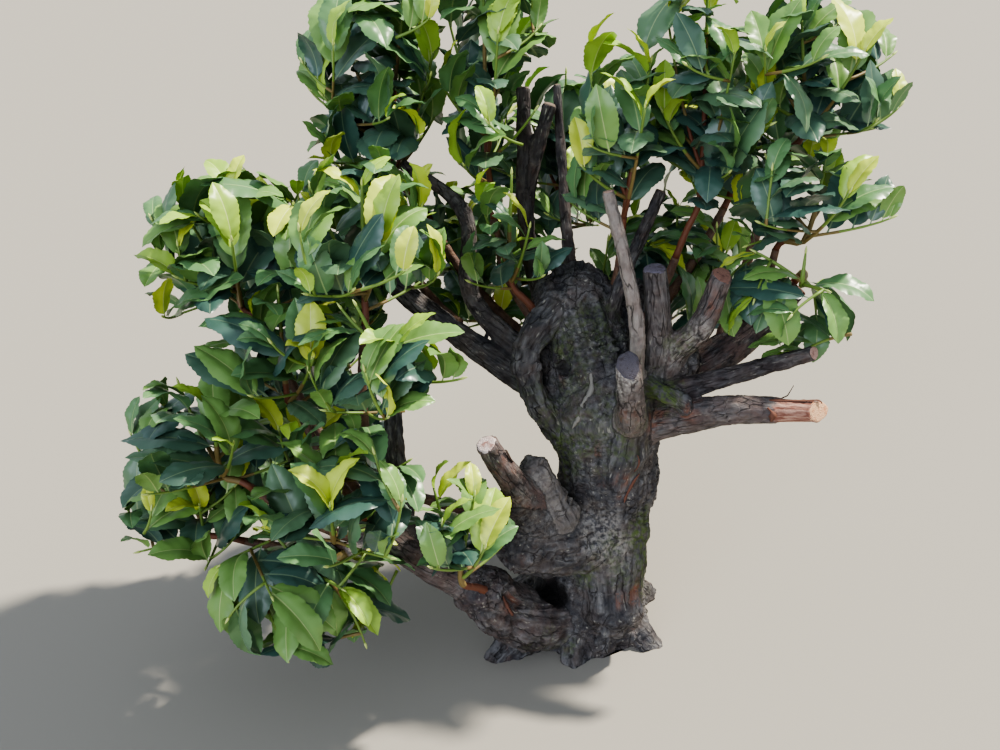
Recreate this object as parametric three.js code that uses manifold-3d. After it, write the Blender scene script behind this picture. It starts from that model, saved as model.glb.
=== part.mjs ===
// An old tea bush that was cut back hard and has grown again: a squat, knuckled stump with sawn
// stubs, and masses of young leafy shoots round it. Millimetres, +Z up. The origin is the middle
// of the flat cut under the stump, at ground level. -Y is the side with the least foliage, where
// the stump shows.
import * as THREE from "three";
import { mergeVertices } from "three/addons/utils/BufferGeometryUtils.js";
import Module from "manifold-3d";

const wasm = await Module();
wasm.setup();

// Driving dimensions
const GAP = 0.3; // between a limb and the solid that carries it
const LEAF_LENGTH = 98; // a full-grown leaf, larger than life because the solids have fewer
const LEAF_WIDTH = 0.46; // share of its length
const LEAF_DEPTH = 0.035; // fold of the blade, share of its length
const LEAF_FOOT = 2; // thickness of a leaf where it leaves its shoot
const INTERNODE = 34; // between two leaves of a shoot
const YOUNG_INTERNODE = 14; // the same at the shoot's tip
const TWIG_TIP = 1.6; // radius of a shoot at its tip
const TWIG_FOOT = 2.6; // radius of a side shoot where it leaves the leader
const LEADER_FORK = 3.6; // radius of a mass's leader where the side shoots leave it
const LIMB_CLEAR = 2.5; // between a leaf or twig and any limb
const TWIG_CLEAR = 3; // between a leaf and the shoots of its mass
const SPACE_CLEAR = 1.2; // between a leaf or twig and the edge of its mass's space
const GROUND_CLEAR = 8; // between a leaf and the ground
const STRAIGHT = 0.8; // cosine of the most that a leaf is twisted on its shoot
const GOLDEN_ANGLE = 2.39996;
const SIDE_TURN = (2 * Math.PI) / 3; // between two corners of a shoot
// A leaf or side shoot that doesn't fit is turned round what it grows from; a leaf is then made
// smaller as well.
const TURNS = [0, 1.1, -1.1, 2.2, -2.2, 3.1];
const LEAF_SIZES = [1, 0.8];
// Places where side shoots leave a leader, as shares of its length above the fork
const FORKS = [0.14, 0, 0.28];

const BARK = { color: 0x5b4a3c, roughness: 0.9, metalness: 0 };
const YOUNG_STEM = { color: 0x6e4a2c, roughness: 0.7, metalness: 0 };
const LEAF = { color: 0x2f5f2c, roughness: 0.45, metalness: 0 };

// A limb tapers from radius r0 at from to r1 at to. It goes through the via points, or bends
// away from the straight line by bow.

// The stump's own lumps. The column widens downwards to the root flare and upwards to the
// knuckled head that the stubs were cut back to. The end of a lump shows unless it is buried.
const STUMP = {
  foot: { from: [8, 24, -30], to: [30, 4, 118], r0: 84, r1: 52, sides: 11, flute: 0.1, buried: true },
  bulge: { from: [36, 4, 168], to: [40, -26, 94], r0: 44, r1: 38, flute: 0.05, sides: 7 },
  waist: {
    from: [34, 4, 110], to: [28, 34, 300], bow: [10, -8, 0], r0: 47, r1: 64, sides: 11, flute: 0.07,
    buried: true,
  },
  head: { from: [26, 38, 286], to: [2, 74, 374], r0: 66, r1: 50, sides: 11, flute: 0.1 },
  right_shoulder: {
    from: [40, 30, 276], to: [88, 32, 344], bow: [6, 0, -10], r0: 44, r1: 34, sides: 7,
  },
  back_shoulder: { from: [10, 70, 290], to: [52, 112, 378], bow: [0, 8, 0], r0: 46, r1: 32, sides: 7 },
  winding_ridge: {
    from: [-22, 66, 424],
    via: [[-50, 40, 404], [-66, 22, 378], [-66, 13, 354], [-52, 6, 324]],
    to: [-34, 8, 292],
    r0: 17,
    r1: 15,
    sides: 6,
  },
  face_ridge: { from: [34, -4, 212], to: [52, 0, 312], bow: [8, -22, 0], r0: 30, r1: 26, sides: 7 },
  mossy_spur: { from: [62, 2, 352], to: [104, -34, 341], bow: [4, -14, 6], r0: 12, r1: 9, sides: 6 },
  left_lobe: { from: [26, -2, 156], to: [-42, -38, 164], bow: [-4, -10, -8], r0: 44, r1: 36, sides: 7 },
  left_lobe_neck: { from: [-44, -38, 168], to: [-68, -58, 218], r0: 33, r1: 20, sides: 7 },
  left_knob: { from: [-30, -40, 196], to: [-52, -44, 250], r0: 26, r1: 16, sides: 7 },
  low_lobe: {
    from: [-24, -16, 34], to: [-98, -66, 100], bow: [-20, -16, -22], r0: 38, r1: 33, sides: 7,
  },
};
// Roots run out from the foot and dive into the ground: angle round the foot, reach and radii.
const ROOTS = {
  left_root: { turn: 214, reach: 150, r0: 36, r1: 18 },
  front_root: { turn: 262, reach: 104, r0: 30, r1: 13 },
  right_root: { turn: 330, reach: 122, r0: 32, r1: 13 },
  far_right_root: { turn: 32, reach: 132, r0: 34, r1: 14 },
  back_root: { turn: 96, reach: 126, r0: 34, r1: 14 },
  far_left_root: { turn: 152, reach: 134, r0: 34, r1: 14 },
};
const ROOT_CENTRE = [8, 20];
const ROOT_TOP = 60; // where a root leaves the foot, above the ground
const ROOT_END = -22; // where its centre line ends, below the ground
// A rotten hollow in the front of the head: centre and half sizes.
const HOLLOW = { centre: [-32, 2, 362], half: [17, 26, 14] };

// Sawn stubs and poles. on is what each grows from. slant tilts the saw cut.
const STUBS = {
  lobe_stub: {
    on: "stump", from: [-52, -44, 204], to: [-112, -111, 331], bow: [4, 0, -14], r0: 20, r1: 12,
  },
  face_stub: {
    on: "stump", from: [56, 6, 290], to: [42, -64, 402], bow: [4, -28, -18], r0: 20, r1: 13.5,
    slant: [0, -0.5],
  },
  upright_stub: {
    on: "stump", from: [84, 34, 320], via: [[85, 6, 384]], to: [74, 4, 489], r0: 18, r1: 13.5,
    slant: [0, -0.3],
  },
  hooked_stub: {
    on: "upright_stub", from: [86, 20, 346], via: [[102, 4, 388], [128, -8, 424]],
    to: [146, -12, 487], r0: 18, r1: 12,
  },
  thick_right_stub: {
    on: "stump", from: [80, 34, 322], to: [253, 92, 438], bow: [16, 0, -30], r0: 24, r1: 20,
  },
  upper_side_stub: {
    on: "stump", from: [82, 0, 334], via: [[122, -12, 352]], to: [261, -1, 389], r0: 13, r1: 8.5,
    slant: [0.3, 0],
  },
  lower_side_stub: {
    on: "stump", from: [62, 8, 288], via: [[114, -20, 316], [166, -48, 340]], to: [254, -66, 347],
    r0: 22, r1: 12.5,
  },
  pale_pole: {
    on: "stump", from: [60, -4, 344], via: [[54, -18, 436]], to: [19, 4, 576], r0: 9.5, r1: 7,
  },
  dark_pole: {
    on: "stump", from: [26, 44, 368], via: [[36, 57, 425]], to: [88, 85, 554], r0: 9, r1: 7,
  },
  back_pole_left: {
    on: "stump", from: [-32, 100, 372], via: [[-62, 148, 470]], to: [-70, 172, 655], r0: 12, r1: 8,
  },
  back_pole_right: {
    on: "back_pole_left", from: [-65, 160, 526], to: [-38, 160, 638], bow: [-2, 0, 0], r0: 8.5,
    r1: 8,
  },
  back_pole_thin: {
    on: "stump", from: [0, 100, 380], via: [[-16, 140, 490]], to: [-29, 190, 655], r0: 9, r1: 5,
  },
  bent_branch: {
    on: "stump", from: [-46, 60, 345], via: [[-130, 90, 420], [-140, 120, 518]],
    to: [-213, 140, 572], r0: 14, r1: 6.5,
  },
  shaded_stub: {
    on: "stump", from: [-40, 52, 312], to: [-232, 82, 450], bow: [4, 0, -16], r0: 18, r1: 12,
  },
  low_left_stub: {
    on: "stump", from: [-92, -58, 92], to: [-243, -114, 238], bow: [-10, -8, -20], r0: 21, r1: 14,
  },
  fork_stub: {
    on: "low_left_stub", from: [-222, -106, 214], to: [-266, -134, 208], bow: [0, 0, 6], r0: 10,
    r1: 8,
  },
  hidden_stub: {
    on: "low_left_stub", from: [-196, -90, 180], to: [-209, -62, 428], bow: [-22, 6, 0], r0: 12,
    r1: 9,
  },
};

// Young stems that carry a mass away from the old wood
const STEMS = {
  stem_upper_left: {
    on: "stump", from: [-26, 94, 336], to: [-176, 156, 486], bow: [-28, 26, -20], r0: 8, r1: 5,
  },
  stem_upper_middle: {
    on: "stump", from: [-18, 88, 348], to: [-104, 152, 500], bow: [-36, 6, -10], r0: 7, r1: 5,
  },
  stem_right_tall: {
    on: "stump", from: [62, 84, 366], to: [112, 96, 470], bow: [8, 10, -10], r0: 7.5, r1: 5,
  },
  stem_right_inner: {
    on: "stump", from: [30, 88, 384], to: [44, 78, 480], bow: [4, 6, 0], r0: 6.5, r1: 4.5,
  },
  stem_right_outer: {
    on: "thick_right_stub", from: [160, 58, 362], to: [222, 108, 570], bow: [10, 20, -10], r0: 7,
    r1: 5,
  },
  stem_right_low: {
    on: "thick_right_stub", from: [188, 66, 384], to: [222, 66, 490], bow: [10, 4, -10], r0: 6,
    r1: 4.5,
  },
  stem_right_back: {
    on: "stump", from: [66, 116, 360], to: [186, 200, 500], bow: [8, 8, -30], r0: 8, r1: 5,
  },
  stem_back: {
    on: "stump", from: [10, 114, 316], to: [-10, 226, 440], bow: [0, 30, -26], r0: 8, r1: 5.5,
  },
  stem_left_waist: {
    on: "shaded_stub", from: [-146, 70, 396], to: [-200, 116, 440], bow: [-6, 14, -12], r0: 7,
    r1: 5,
  },
  stem_left_back_low: {
    on: "stump", from: [4, 24, 120], to: [-276, 84, 170], bow: [-10, 22, -14], r0: 10, r1: 5.5,
  },
  stem_left_high: {
    on: "low_left_stub", from: [-214, -98, 200], to: [-240, -66, 450], bow: [-30, -20, 0], r0: 6,
    r1: 4.5,
  },
  stem_left_far: {
    on: "low_left_stub", from: [-226, -104, 222], to: [-360, -4, 420], bow: [-16, 24, -30], r0: 6,
    r1: 4.5,
  },
  stem_left_middle: {
    on: "low_left_stub", from: [-230, -108, 226], to: [-316, -68, 345], bow: [-10, -6, -18],
    r0: 5.5, r1: 4.5,
  },
  stem_left_outer: {
    on: "fork_stub", from: [-246, -120, 212], to: [-366, -112, 276], bow: [-14, 4, -12], r0: 5.5,
    r1: 4.5,
  },
  stem_left_low: {
    on: "fork_stub", from: [-244, -120, 209], to: [-392, -70, 180], bow: [-8, 4, -16], r0: 5.5,
    r1: 4.5,
  },
};

const LIMBS = { ...STUBS };
for (const [name, stem] of Object.entries(STEMS)) LIMBS[name] = { ...stem, sides: 5, young: true };

// Masses of foliage. on is the limb whose tip carries the mass, or the stump with a point in it
// given by foot. centre and half are the space it keeps to, shoots how many shoots it has, and
// lead the tip of its longest one.
const MASSES = {
  crown_upper_left: {
    on: "stem_upper_left", centre: [-226, 158, 648], half: [116, 106, 164], shoots: 6,
    lead: [-204, 160, 778],
  },
  crown_upper_middle: {
    on: "stem_upper_middle", centre: [-112, 158, 660], half: [92, 100, 160], shoots: 6,
    lead: [-116, 150, 782],
  },
  crown_left_waist: { on: "stem_left_waist", centre: [-232, 122, 524], half: [116, 98, 88], shoots: 5 },
  crown_centre: {
    on: "stump", foot: [-44, 66, 400], centre: [-84, 66, 500], half: [70, 62, 92], shoots: 4,
    leaf: 0.72,
  },
  crown_right_tall: {
    on: "stem_right_tall", centre: [134, 92, 640], half: [90, 92, 180], shoots: 6,
    lead: [124, 92, 794],
  },
  crown_right_inner: {
    on: "stem_right_inner", centre: [44, 64, 610], half: [84, 90, 150], shoots: 5,
    lead: [72, 60, 735],
  },
  crown_right_outer: {
    on: "stem_right_outer", centre: [250, 112, 672], half: [108, 102, 110], shoots: 5,
    lead: [232, 104, 742],
  },
  crown_right_low: {
    on: "stem_right_low", centre: [248, 48, 552], half: [100, 86, 84], shoots: 4,
    lead: [262, 46, 604],
  },
  crown_right_hanging: {
    on: "thick_right_stub", centre: [244, 22, 446], half: [98, 68, 88], shoots: 4, hang: true,
  },
  crown_right_back: {
    on: "stem_right_back", centre: [206, 226, 590], half: [122, 116, 142], shoots: 5, fork: -0.3,
  },
  crown_left_high: {
    on: "stem_left_high", centre: [-240, -60, 532], half: [90, 90, 104], shoots: 4,
    lead: [-236, -62, 600],
  },
  crown_left_front: {
    on: "hidden_stub", centre: [-216, -124, 444], half: [90, 82, 92], shoots: 4, fork: 0.05,
    lead: [-238, -138, 500],
  },
  crown_left_far: {
    on: "stem_left_far", centre: [-386, 0, 504], half: [106, 104, 108], shoots: 5,
    lead: [-384, -4, 582],
  },
  crown_left_middle: {
    on: "stem_left_middle", centre: [-328, -72, 412], half: [106, 96, 92], shoots: 4,
  },
  crown_left_outer: {
    on: "stem_left_outer", centre: [-400, -106, 334], half: [108, 96, 82], shoots: 4,
    lead: [-396, -118, 376],
  },
  crown_left_low: { on: "stem_left_low", centre: [-446, -50, 228], half: [98, 104, 86], shoots: 4 },
  crown_left_front_low: {
    on: "low_left_stub", centre: [-272, -168, 296], half: [100, 90, 90], shoots: 4,
    lead: [-262, -176, 340],
  },
  crown_left_skirt: {
    on: "fork_stub", centre: [-300, -140, 166], half: [118, 96, 84], shoots: 5, hang: true,
    lead: [-352, -160, 160],
  },
  crown_left_back: {
    on: "shaded_stub", centre: [-334, 112, 440], half: [116, 106, 112], shoots: 4, fork: -0.1,
  },
  crown_left_back_low: {
    on: "stem_left_back_low", centre: [-352, 92, 232], half: [122, 106, 108], shoots: 4,
  },
  crown_front_sprig: {
    on: "stump", foot: [-100, -76, 106], centre: [-140, -146, 232], half: [64, 62, 92], shoots: 3,
    leaf: 0.8, lead: [-124, -154, 292],
  },
  crown_back: { on: "stem_back", centre: [-14, 264, 542], half: [114, 102, 134], shoots: 4 },
  crown_back_left: {
    on: "stump", foot: [-6, 80, 296], centre: [-110, 236, 420], half: [118, 100, 112], shoots: 4,
  },
  crown_back_right: {
    on: "stump", foot: [40, 94, 310], centre: [130, 212, 414], half: [114, 100, 108], shoots: 4,
  },
};

// Small vector helpers on plain arrays
const add = (a, b, k = 1) => [a[0] + b[0] * k, a[1] + b[1] * k, a[2] + b[2] * k];
const dot = (a, b) => a[0] * b[0] + a[1] * b[1] + a[2] * b[2];
const cross = (a, b) => [a[1] * b[2] - a[2] * b[1], a[2] * b[0] - a[0] * b[2], a[0] * b[1] - a[1] * b[0]];
const distance = (a, b) => Math.hypot(a[0] - b[0], a[1] - b[1], a[2] - b[2]);
const unit = (a) => a.map((v) => v / Math.hypot(...a));
const mix = (a, b, t) => [a[0] + (b[0] - a[0]) * t, a[1] + (b[1] - a[1]) * t, a[2] + (b[2] - a[2]) * t];

// A curve with its direction, and two directions square to it that don't spin along it.
function curveOf(at, steps) {
  const chord = add(at(1), at(0), -1).map(Math.abs);
  const least = [0, 1, 2].map((i) => (chord[i] === Math.min(...chord) ? 1 : 0));
  const along = (t) => unit(add(at(Math.min(1, t + 0.01)), at(Math.max(0, t - 0.01)), -1));
  const across = (t) => {
    const a = along(t);
    const side = unit(add(least, a, -dot(least, a)));
    return [side, cross(a, side)];
  };
  const pieces = Array.from({ length: 8 }, (_, i) => distance(at(i / 8), at((i + 1) / 8)));
  return { at, along, across, steps, length: pieces.reduce((sum, piece) => sum + piece) };
}

// A curve from one point to another, pulled towards a third.
function bend(from, via, to, steps = 3) {
  return curveOf((t) => mix(mix(from, via, t), mix(via, to, t), t), steps);
}

// The same curve with its places measured along its length.
function evenly(at, steps) {
  const marks = Array.from({ length: 25 }, (_, i) => at(i / 24));
  const gone = [0];
  for (let i = 1; i < 25; i++) gone.push(gone[i - 1] + distance(marks[i - 1], marks[i]));
  return curveOf((t) => {
    const goal = Math.min(1, Math.max(0, t)) * gone[24];
    const i = Math.max(1, gone.findIndex((length) => length >= goal));
    return at((i - 1 + (goal - gone[i - 1]) / (gone[i] - gone[i - 1])) / 24);
  }, steps);
}

// A smooth curve through a limb's points. leave is the direction at its start, if that is given.
function limbCurve({ from, via, to, bow = [0, 0, 0], blunt, leave }) {
  if (!via) return bend(from, add(mix(from, to, 0.5), bow), to, blunt ? 4 : 3);
  const stops = [from, ...via, to];
  const last = stops.length - 1;
  const way = (i) => {
    if (i === 0 && leave) return leave;
    return unit(add(stops[Math.min(last, i + 1)], stops[Math.max(0, i - 1)], -1));
  };
  const at = (t) => {
    const i = Math.min(last - 1, Math.floor(t * last));
    const u = t * last - i;
    const span = distance(stops[i], stops[i + 1]);
    const p = mix(stops[i], stops[i + 1], u * u * (3 - 2 * u));
    return add(add(p, way(i), span * u * (1 - u) * (1 - u)), way(i + 1), -span * u * u * (1 - u));
  };
  return evenly(at, Math.round(1.5 * last));
}

// The same numbers in the same order each time.
function seeded(seed) {
  let state = seed;
  return () => {
    state = (Math.imul(state, 1664525) + 1013904223) >>> 0;
    return state / 4294967296;
  };
}

function solidOf(geometry) {
  geometry.deleteAttribute("normal");
  geometry.deleteAttribute("uv");
  const merged = mergeVertices(geometry, 1e-4);
  const mesh = new wasm.Mesh({
    numProp: 3,
    vertProperties: new Float32Array(merged.attributes.position.array),
    triVerts: new Uint32Array(merged.index.array),
  });
  return new wasm.Manifold(mesh);
}

// A cylinder bent along a curve. radius takes the place along it and the angle round it.
function tubeSolid(curve, radius, sides, slant = [0, 0]) {
  const geometry = new THREE.CylinderGeometry(1, 1, 1, sides, curve.steps);
  const position = geometry.attributes.position;
  for (let i = 0; i < position.count; i++) {
    const t = position.getY(i) + 0.5;
    const [x, z] = [position.getX(i), position.getZ(i)];
    const [side, up] = curve.across(t);
    const r = radius(t, Math.atan2(z, x));
    const tilt = t > 0.999 ? r * (x * slant[0] + z * slant[1]) : 0;
    const p = add(add(curve.at(t), side, -x * r), up, z * r);
    position.setXYZ(i, ...add(p, curve.along(t), tilt));
  }
  return solidOf(geometry);
}

function limbSolid(limb, grow = 0) {
  const { r0, r1, flute = 0, sides = 8, slant, blunt } = limb;
  const radius = (t, angle) => {
    const closing = blunt && t > 0.999 ? 0.55 : 1;
    return closing * (r0 + (r1 - r0) * t) * (1 + flute * Math.sin(3 * angle + 4 * t)) + grow;
  };
  return tubeSolid(limbCurve(limb), radius, sides, slant);
}

function rootOf({ turn, reach, r0, r1 }) {
  const angle = THREE.MathUtils.degToRad(turn);
  const way = [Math.cos(angle), Math.sin(angle), 0];
  const from = add([...ROOT_CENTRE, ROOT_TOP], way, 18);
  return { from, to: add([...ROOT_CENTRE, ROOT_END], way, reach), bow: [0, 0, -12], r0, r1, sides: 6 };
}

// The end of a lump that shows goes on a little and closes in, so that it is blunt.
function bluntEnd(lump) {
  const before = lump.via?.at(-1) ?? lump.from;
  return { ...lump, to: add(lump.to, unit(add(lump.to, before, -1)), lump.r1 * 0.8), blunt: true };
}

const STUMP_PARTS = [
  ...Object.values(STUMP).map((lump) => (lump.buried ? lump : bluntEnd(lump))),
  ...Object.values(ROOTS).map(rootOf),
];

function stumpSolid(grow = 0) {
  return wasm.Manifold.union(STUMP_PARTS.map((part) => limbSolid(part, grow)));
}

function boxSolid(low, high) {
  const size = add(high, low, -1);
  const geometry = new THREE.BoxGeometry(...size);
  geometry.translate(...mix(low, high, 0.5));
  return solidOf(geometry);
}

// What is left of a union once loose scraps are dropped and sealed hollows are filled.
function largestBody(solid) {
  return solid.decompose().reduce((best, body) => (body.volume() > best.volume() ? body : best));
}

function buildStump() {
  const hollow = new THREE.IcosahedronGeometry(1, 1);
  hollow.scale(...HOLLOW.half);
  hollow.translate(...HOLLOW.centre);
  const below = boxSolid([-400, -400, -200], [400, 400, 0]);
  return largestBody(stumpSolid().subtract(solidOf(hollow)).subtract(below));
}

const grownStump = stumpSolid(GAP);

// A limb starts inside what carries it, and is cut off there. Where roots of limbs meet, the later
// one gives way.
function buildLimb(name, earlier) {
  const others = [grownStump, ...earlier.map((other) => limbSolid(LIMBS[other], GAP))];
  return largestBody(others.reduce((solid, other) => solid.subtract(other), limbSolid(LIMBS[name])));
}

// Straight pieces of every limb and of the stump, for the test that keeps leaves clear of them.
function barsOf(limb, name) {
  const curve = limbCurve(limb);
  const steps = 2 * curve.steps;
  return Array.from({ length: steps }, (_, i) => ({
    name,
    a: curve.at(i / steps),
    b: curve.at((i + 1) / steps),
    r: limb.r0 + (limb.r1 - limb.r0) * (i / steps),
  }));
}

const BARS = [
  ...STUMP_PARTS.flatMap((part) => barsOf(part, "stump")),
  ...Object.entries(LIMBS).flatMap(([name, limb]) => barsOf(limb, name)),
];

function barDistance(p, { a, b, r }) {
  const ab = add(b, a, -1);
  const t = Math.min(1, Math.max(0, dot(add(p, a, -1), ab) / dot(ab, ab)));
  return distance(p, mix(a, b, t)) - r;
}

// The leader of a mass leaves the tip of the limb that carries it, or the stump, and runs to a
// fork low in the mass's space, and on to its own tip.
function leaderStart(mass) {
  const fork = add(mass.centre, [0, 0, mass.half[2] * (mass.fork ?? (mass.hang ? 0.2 : -0.55))]);
  if (mass.foot) {
    const { foot } = mass;
    return { leave: unit(add(fork, foot, -1)), stops: [foot, mix(foot, fork, 0.5), fork] };
  }
  const limb = LIMBS[mass.on];
  const leave = limbCurve(limb).along(1);
  const foot = add(limb.to, leave, GAP);
  const via = add(foot, leave, distance(foot, fork) * 0.45);
  return { leave, stops: [foot, mix(mix(foot, via, 0.5), mix(via, fork, 0.5), 0.5), fork] };
}

const NAMES = Object.keys(MASSES);
const STARTS = Object.fromEntries(NAMES.map((name) => [name, leaderStart(MASSES[name])]));

// The lower parts of the other masses' leaders are in the way of a leaf too.
const LEADER_BARS = NAMES.flatMap((name) => {
  const { stops: [foot, middle, fork], leave } = STARTS[name];
  return barsOf({ from: foot, via: [middle], to: fork, leave, r0: 5, r1: 4 }, name);
});

// How far an ellipsoid reaches one way from its centre.
const reachOf = (half, way) => 1 / Math.hypot(way[0] / half[0], way[1] / half[1], way[2] / half[2]);

// A mass keeps to an ellipsoid, cut off by a plane towards each neighbour.
function keepsTo(name) {
  const { centre, half } = MASSES[name];
  const planes = NAMES.filter((other) => other !== name).map((other) => {
    const n = unit(add(MASSES[other].centre, centre, -1));
    const mine = reachOf(half, n);
    const share = mine / (mine + reachOf(MASSES[other].half, n));
    return { n, d: distance(MASSES[other].centre, centre) * share - SPACE_CLEAR };
  });
  return (p) => {
    const q = add(p, centre, -1);
    const round = Math.hypot(q[0] / half[0], q[1] / half[1], q[2] / half[2]);
    return round < 1 && p[2] > GROUND_CLEAR && planes.every(({ n, d }) => dot(q, n) < d);
  };
}

const woodRound = (name) => [...BARS, ...LEADER_BARS.filter((bar) => bar.name !== name)];

function clearOf(name, p, clear = LIMB_CLEAR) {
  return woodRound(name).every((bar) => barDistance(p, bar) > clear);
}

// The outline of a leaf: its foot, two points on one edge, its tip, and two on the other edge.
function leafPoints({ foot, along, up, length }) {
  const side = cross(along, up);
  const half = (length * LEAF_WIDTH) / 2;
  const edge = (share, width) => {
    const p = add(add(foot, along, length * share), side, half * width);
    return add(p, up, length * LEAF_DEPTH);
  };
  return [foot, edge(0.34, 1), edge(0.7, 0.82), add(foot, along, length), edge(0.7, -0.82), edge(0.34, -1)];
}

// Points that stand for a leaf in the tests: its outline and three points of its midrib.
function leafMarks(leaf) {
  const [foot, ...outline] = leafPoints(leaf);
  const rib = [0.35, 0.6, 0.85].map((share) => mix(foot, outline[2], share));
  return [...outline, ...rib, mix(outline[0], outline[1], 0.5), mix(outline[3], outline[4], 0.5)];
}

// Whether the line from a to b goes through the triangle p, q, r.
function pierces([a, b], [p, q, r]) {
  const side = (u, v, w, x) => dot(cross(add(v, u, -1), add(w, u, -1)), add(x, u, -1));
  if (side(p, q, r, a) * side(p, q, r, b) > 0) return false;
  const turns = [side(a, b, p, q), side(a, b, q, r), side(a, b, r, p)];
  return turns.every((v) => v > 0) || turns.every((v) => v < 0);
}

// A leaf as four triangles and the seven lines round and along it.
function leafNet(leaf) {
  const points = leafPoints(leaf);
  const [foot, near, far, tip, otherFar, otherNear] = points;
  const lines = points.map((p, i) => [p, points[(i + 1) % 6]]);
  const lower = [[foot, near, otherNear], [near, far, otherNear]];
  const faces = [...lower, [far, otherFar, otherNear], [far, tip, otherFar]];
  return { foot, lines: [...lines, [foot, tip]], faces };
}

function netsCross(one, other) {
  if (distance(one.foot, other.foot) > 2 * LEAF_LENGTH) return false;
  const through = (lines, faces) => lines.some((line) => faces.some((face) => pierces(line, face)));
  return through(one.lines, other.faces) || through(other.lines, one.faces);
}

// A leaf keeps inside the mass's space, clear of every limb, and crosses no limb, shoot or other
// leaf.
function leafFits({ name, inside, twigs, nets }, leaf) {
  const free = leafMarks(leaf).every(
    (p) => inside(p) && twigs.every((twig) => barDistance(p, twig) > TWIG_CLEAR) && clearOf(name, p)
  );
  if (!free) return false;
  const net = leafNet(leaf);
  const wood = [...twigs, ...woodRound(name).filter((bar) => barDistance(leaf.foot, bar) < leaf.length)];
  const crossed = wood.some(({ a, b }) => net.faces.slice(1).some((face) => pierces([a, b], face)));
  return !crossed && !nets.some((other) => netsCross(net, other));
}

// The upper side of a leaf faces the sky, unless that would twist the leaf off its shoot. Then it
// faces the shoot's tip. It is null if that twists it too.
function upperSide(along, stalk, out) {
  const faces = [add([0, 0, 0.7], stalk, 0.5), stalk].map((face) => {
    const up = unit(add(face, along, -dot(face, along)));
    return up.map((v) => v * Math.sign(dot(up, stalk)));
  });
  return faces.find((up) => dot(cross(along, up), cross(out, stalk)) > STRAIGHT) ?? null;
}

// The ways that one leaf could stand. k counts back from the tip of the shoot, so the youngest
// leaves are the smallest and stand up the most.
function leafWays({ name, random }, { curve, radius }, t, k, start) {
  const stalk = curve.along(t);
  const [side, up] = curve.across(t);
  const age = Math.min(1, k / 4);
  const size = (0.42 + 0.58 * age) * (0.82 + 0.32 * random());
  const spread = 0.5 + 0.6 * age + 0.25 * random();
  const droop = (MASSES[name].hang ? 0.9 : 0.5) * age * (0.6 + 0.8 * random());
  const way = (turn, share) => {
    const out = add(side.map((v) => v * Math.cos(turn)), up, Math.sin(turn));
    const lean = add(stalk.map((v) => v * Math.cos(spread)), out, Math.sin(spread));
    const along = unit(add(lean, [0, 0, -droop]));
    const upper = upperSide(along, stalk, out);
    const length = LEAF_LENGTH * (MASSES[name].leaf ?? 1) * size * share;
    const foot = add(curve.at(t), out, radius(t) / 2);
    return { t, turn, foot, along, up: upper, length, leaves: upper && dot(along, out) > 0.25 };
  };
  return LEAF_SIZES.flatMap((share) => TURNS.map((turned) => way(start + turned, share)));
}

// Leaves down a shoot from its tip, close together at first, each a golden angle on from the
// last. share is the part of the shoot that has leaves.
function leavesOn(growth, shoot) {
  const { length } = shoot.curve;
  const leaves = [];
  const start = 6.2832 * growth.random();
  let gone = 4;
  for (let k = 0; gone < length * shoot.share; k++) {
    const ways = leafWays(growth, shoot, 1 - gone / length, k, start + k * GOLDEN_ANGLE);
    const leaf = ways.find((way) => way.leaves && leafFits(growth, way));
    if (leaf) {
      leaves.unshift(leaf);
      growth.nets.push(leafNet(leaf));
    }
    gone += YOUNG_INTERNODE + (INTERNODE - YOUNG_INTERNODE) * Math.min(1, k / 3);
  }
  return leaves;
}

// The tip of a shoot, pulled in towards the centre until it lies in the mass's own space. The
// first is the leader's, at the top. The others stand round it, each lower than the last.
function shootTip({ name, inside }, i, turn, wide) {
  const { centre, half, shoots, lead } = MASSES[name];
  const high = i ? 0.6 - (0.95 * (i - 1)) / (shoots - 1) : 0.85;
  const out = wide * Math.sqrt(1 - high * high);
  let way = [half[0] * out * Math.cos(turn), half[1] * out * Math.sin(turn), half[2] * high];
  if (i === 0 && lead) way = add(lead, centre, -1);
  for (let n = 0; n < 8; n++) {
    const tip = add(centre, way);
    if (inside(tip) && clearOf(name, tip, 6)) return tip;
    way = way.map((v) => v * 0.9);
  }
  return null;
}

// A side shoot leaves the leader outwards near the fork and turns up towards the light.
function sideShoot(growth, leader, i) {
  const { hang } = MASSES[growth.name];
  const from = leader.curve.at(leader.forks[(i - 1) % FORKS.length]);
  const turn = i * GOLDEN_ANGLE + 0.6 * growth.random();
  const wide = 0.58 + 0.14 * growth.random();
  for (const turned of TURNS) {
    const tip = shootTip(growth, i, turn + turned, wide);
    if (!tip) continue;
    const [out, rise] = [mix(from, tip, 0.6), mix(from, tip, hang ? 0.7 : 0.4)];
    const curve = bend(from, [out[0], out[1], rise[2]], tip);
    const places = Array.from({ length: 12 }, (_, n) => 0.15 + 0.07 * n);
    const clear = places.every((t) => clearOf(growth.name, curve.at(t), 5));
    const radius = (t) => TWIG_FOOT + (TWIG_TIP - TWIG_FOOT) * t;
    if (clear) return { curve, radius, share: 0.86, rings: [0.3, 0.6], apart: 0.15 };
  }
  return null;
}

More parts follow.
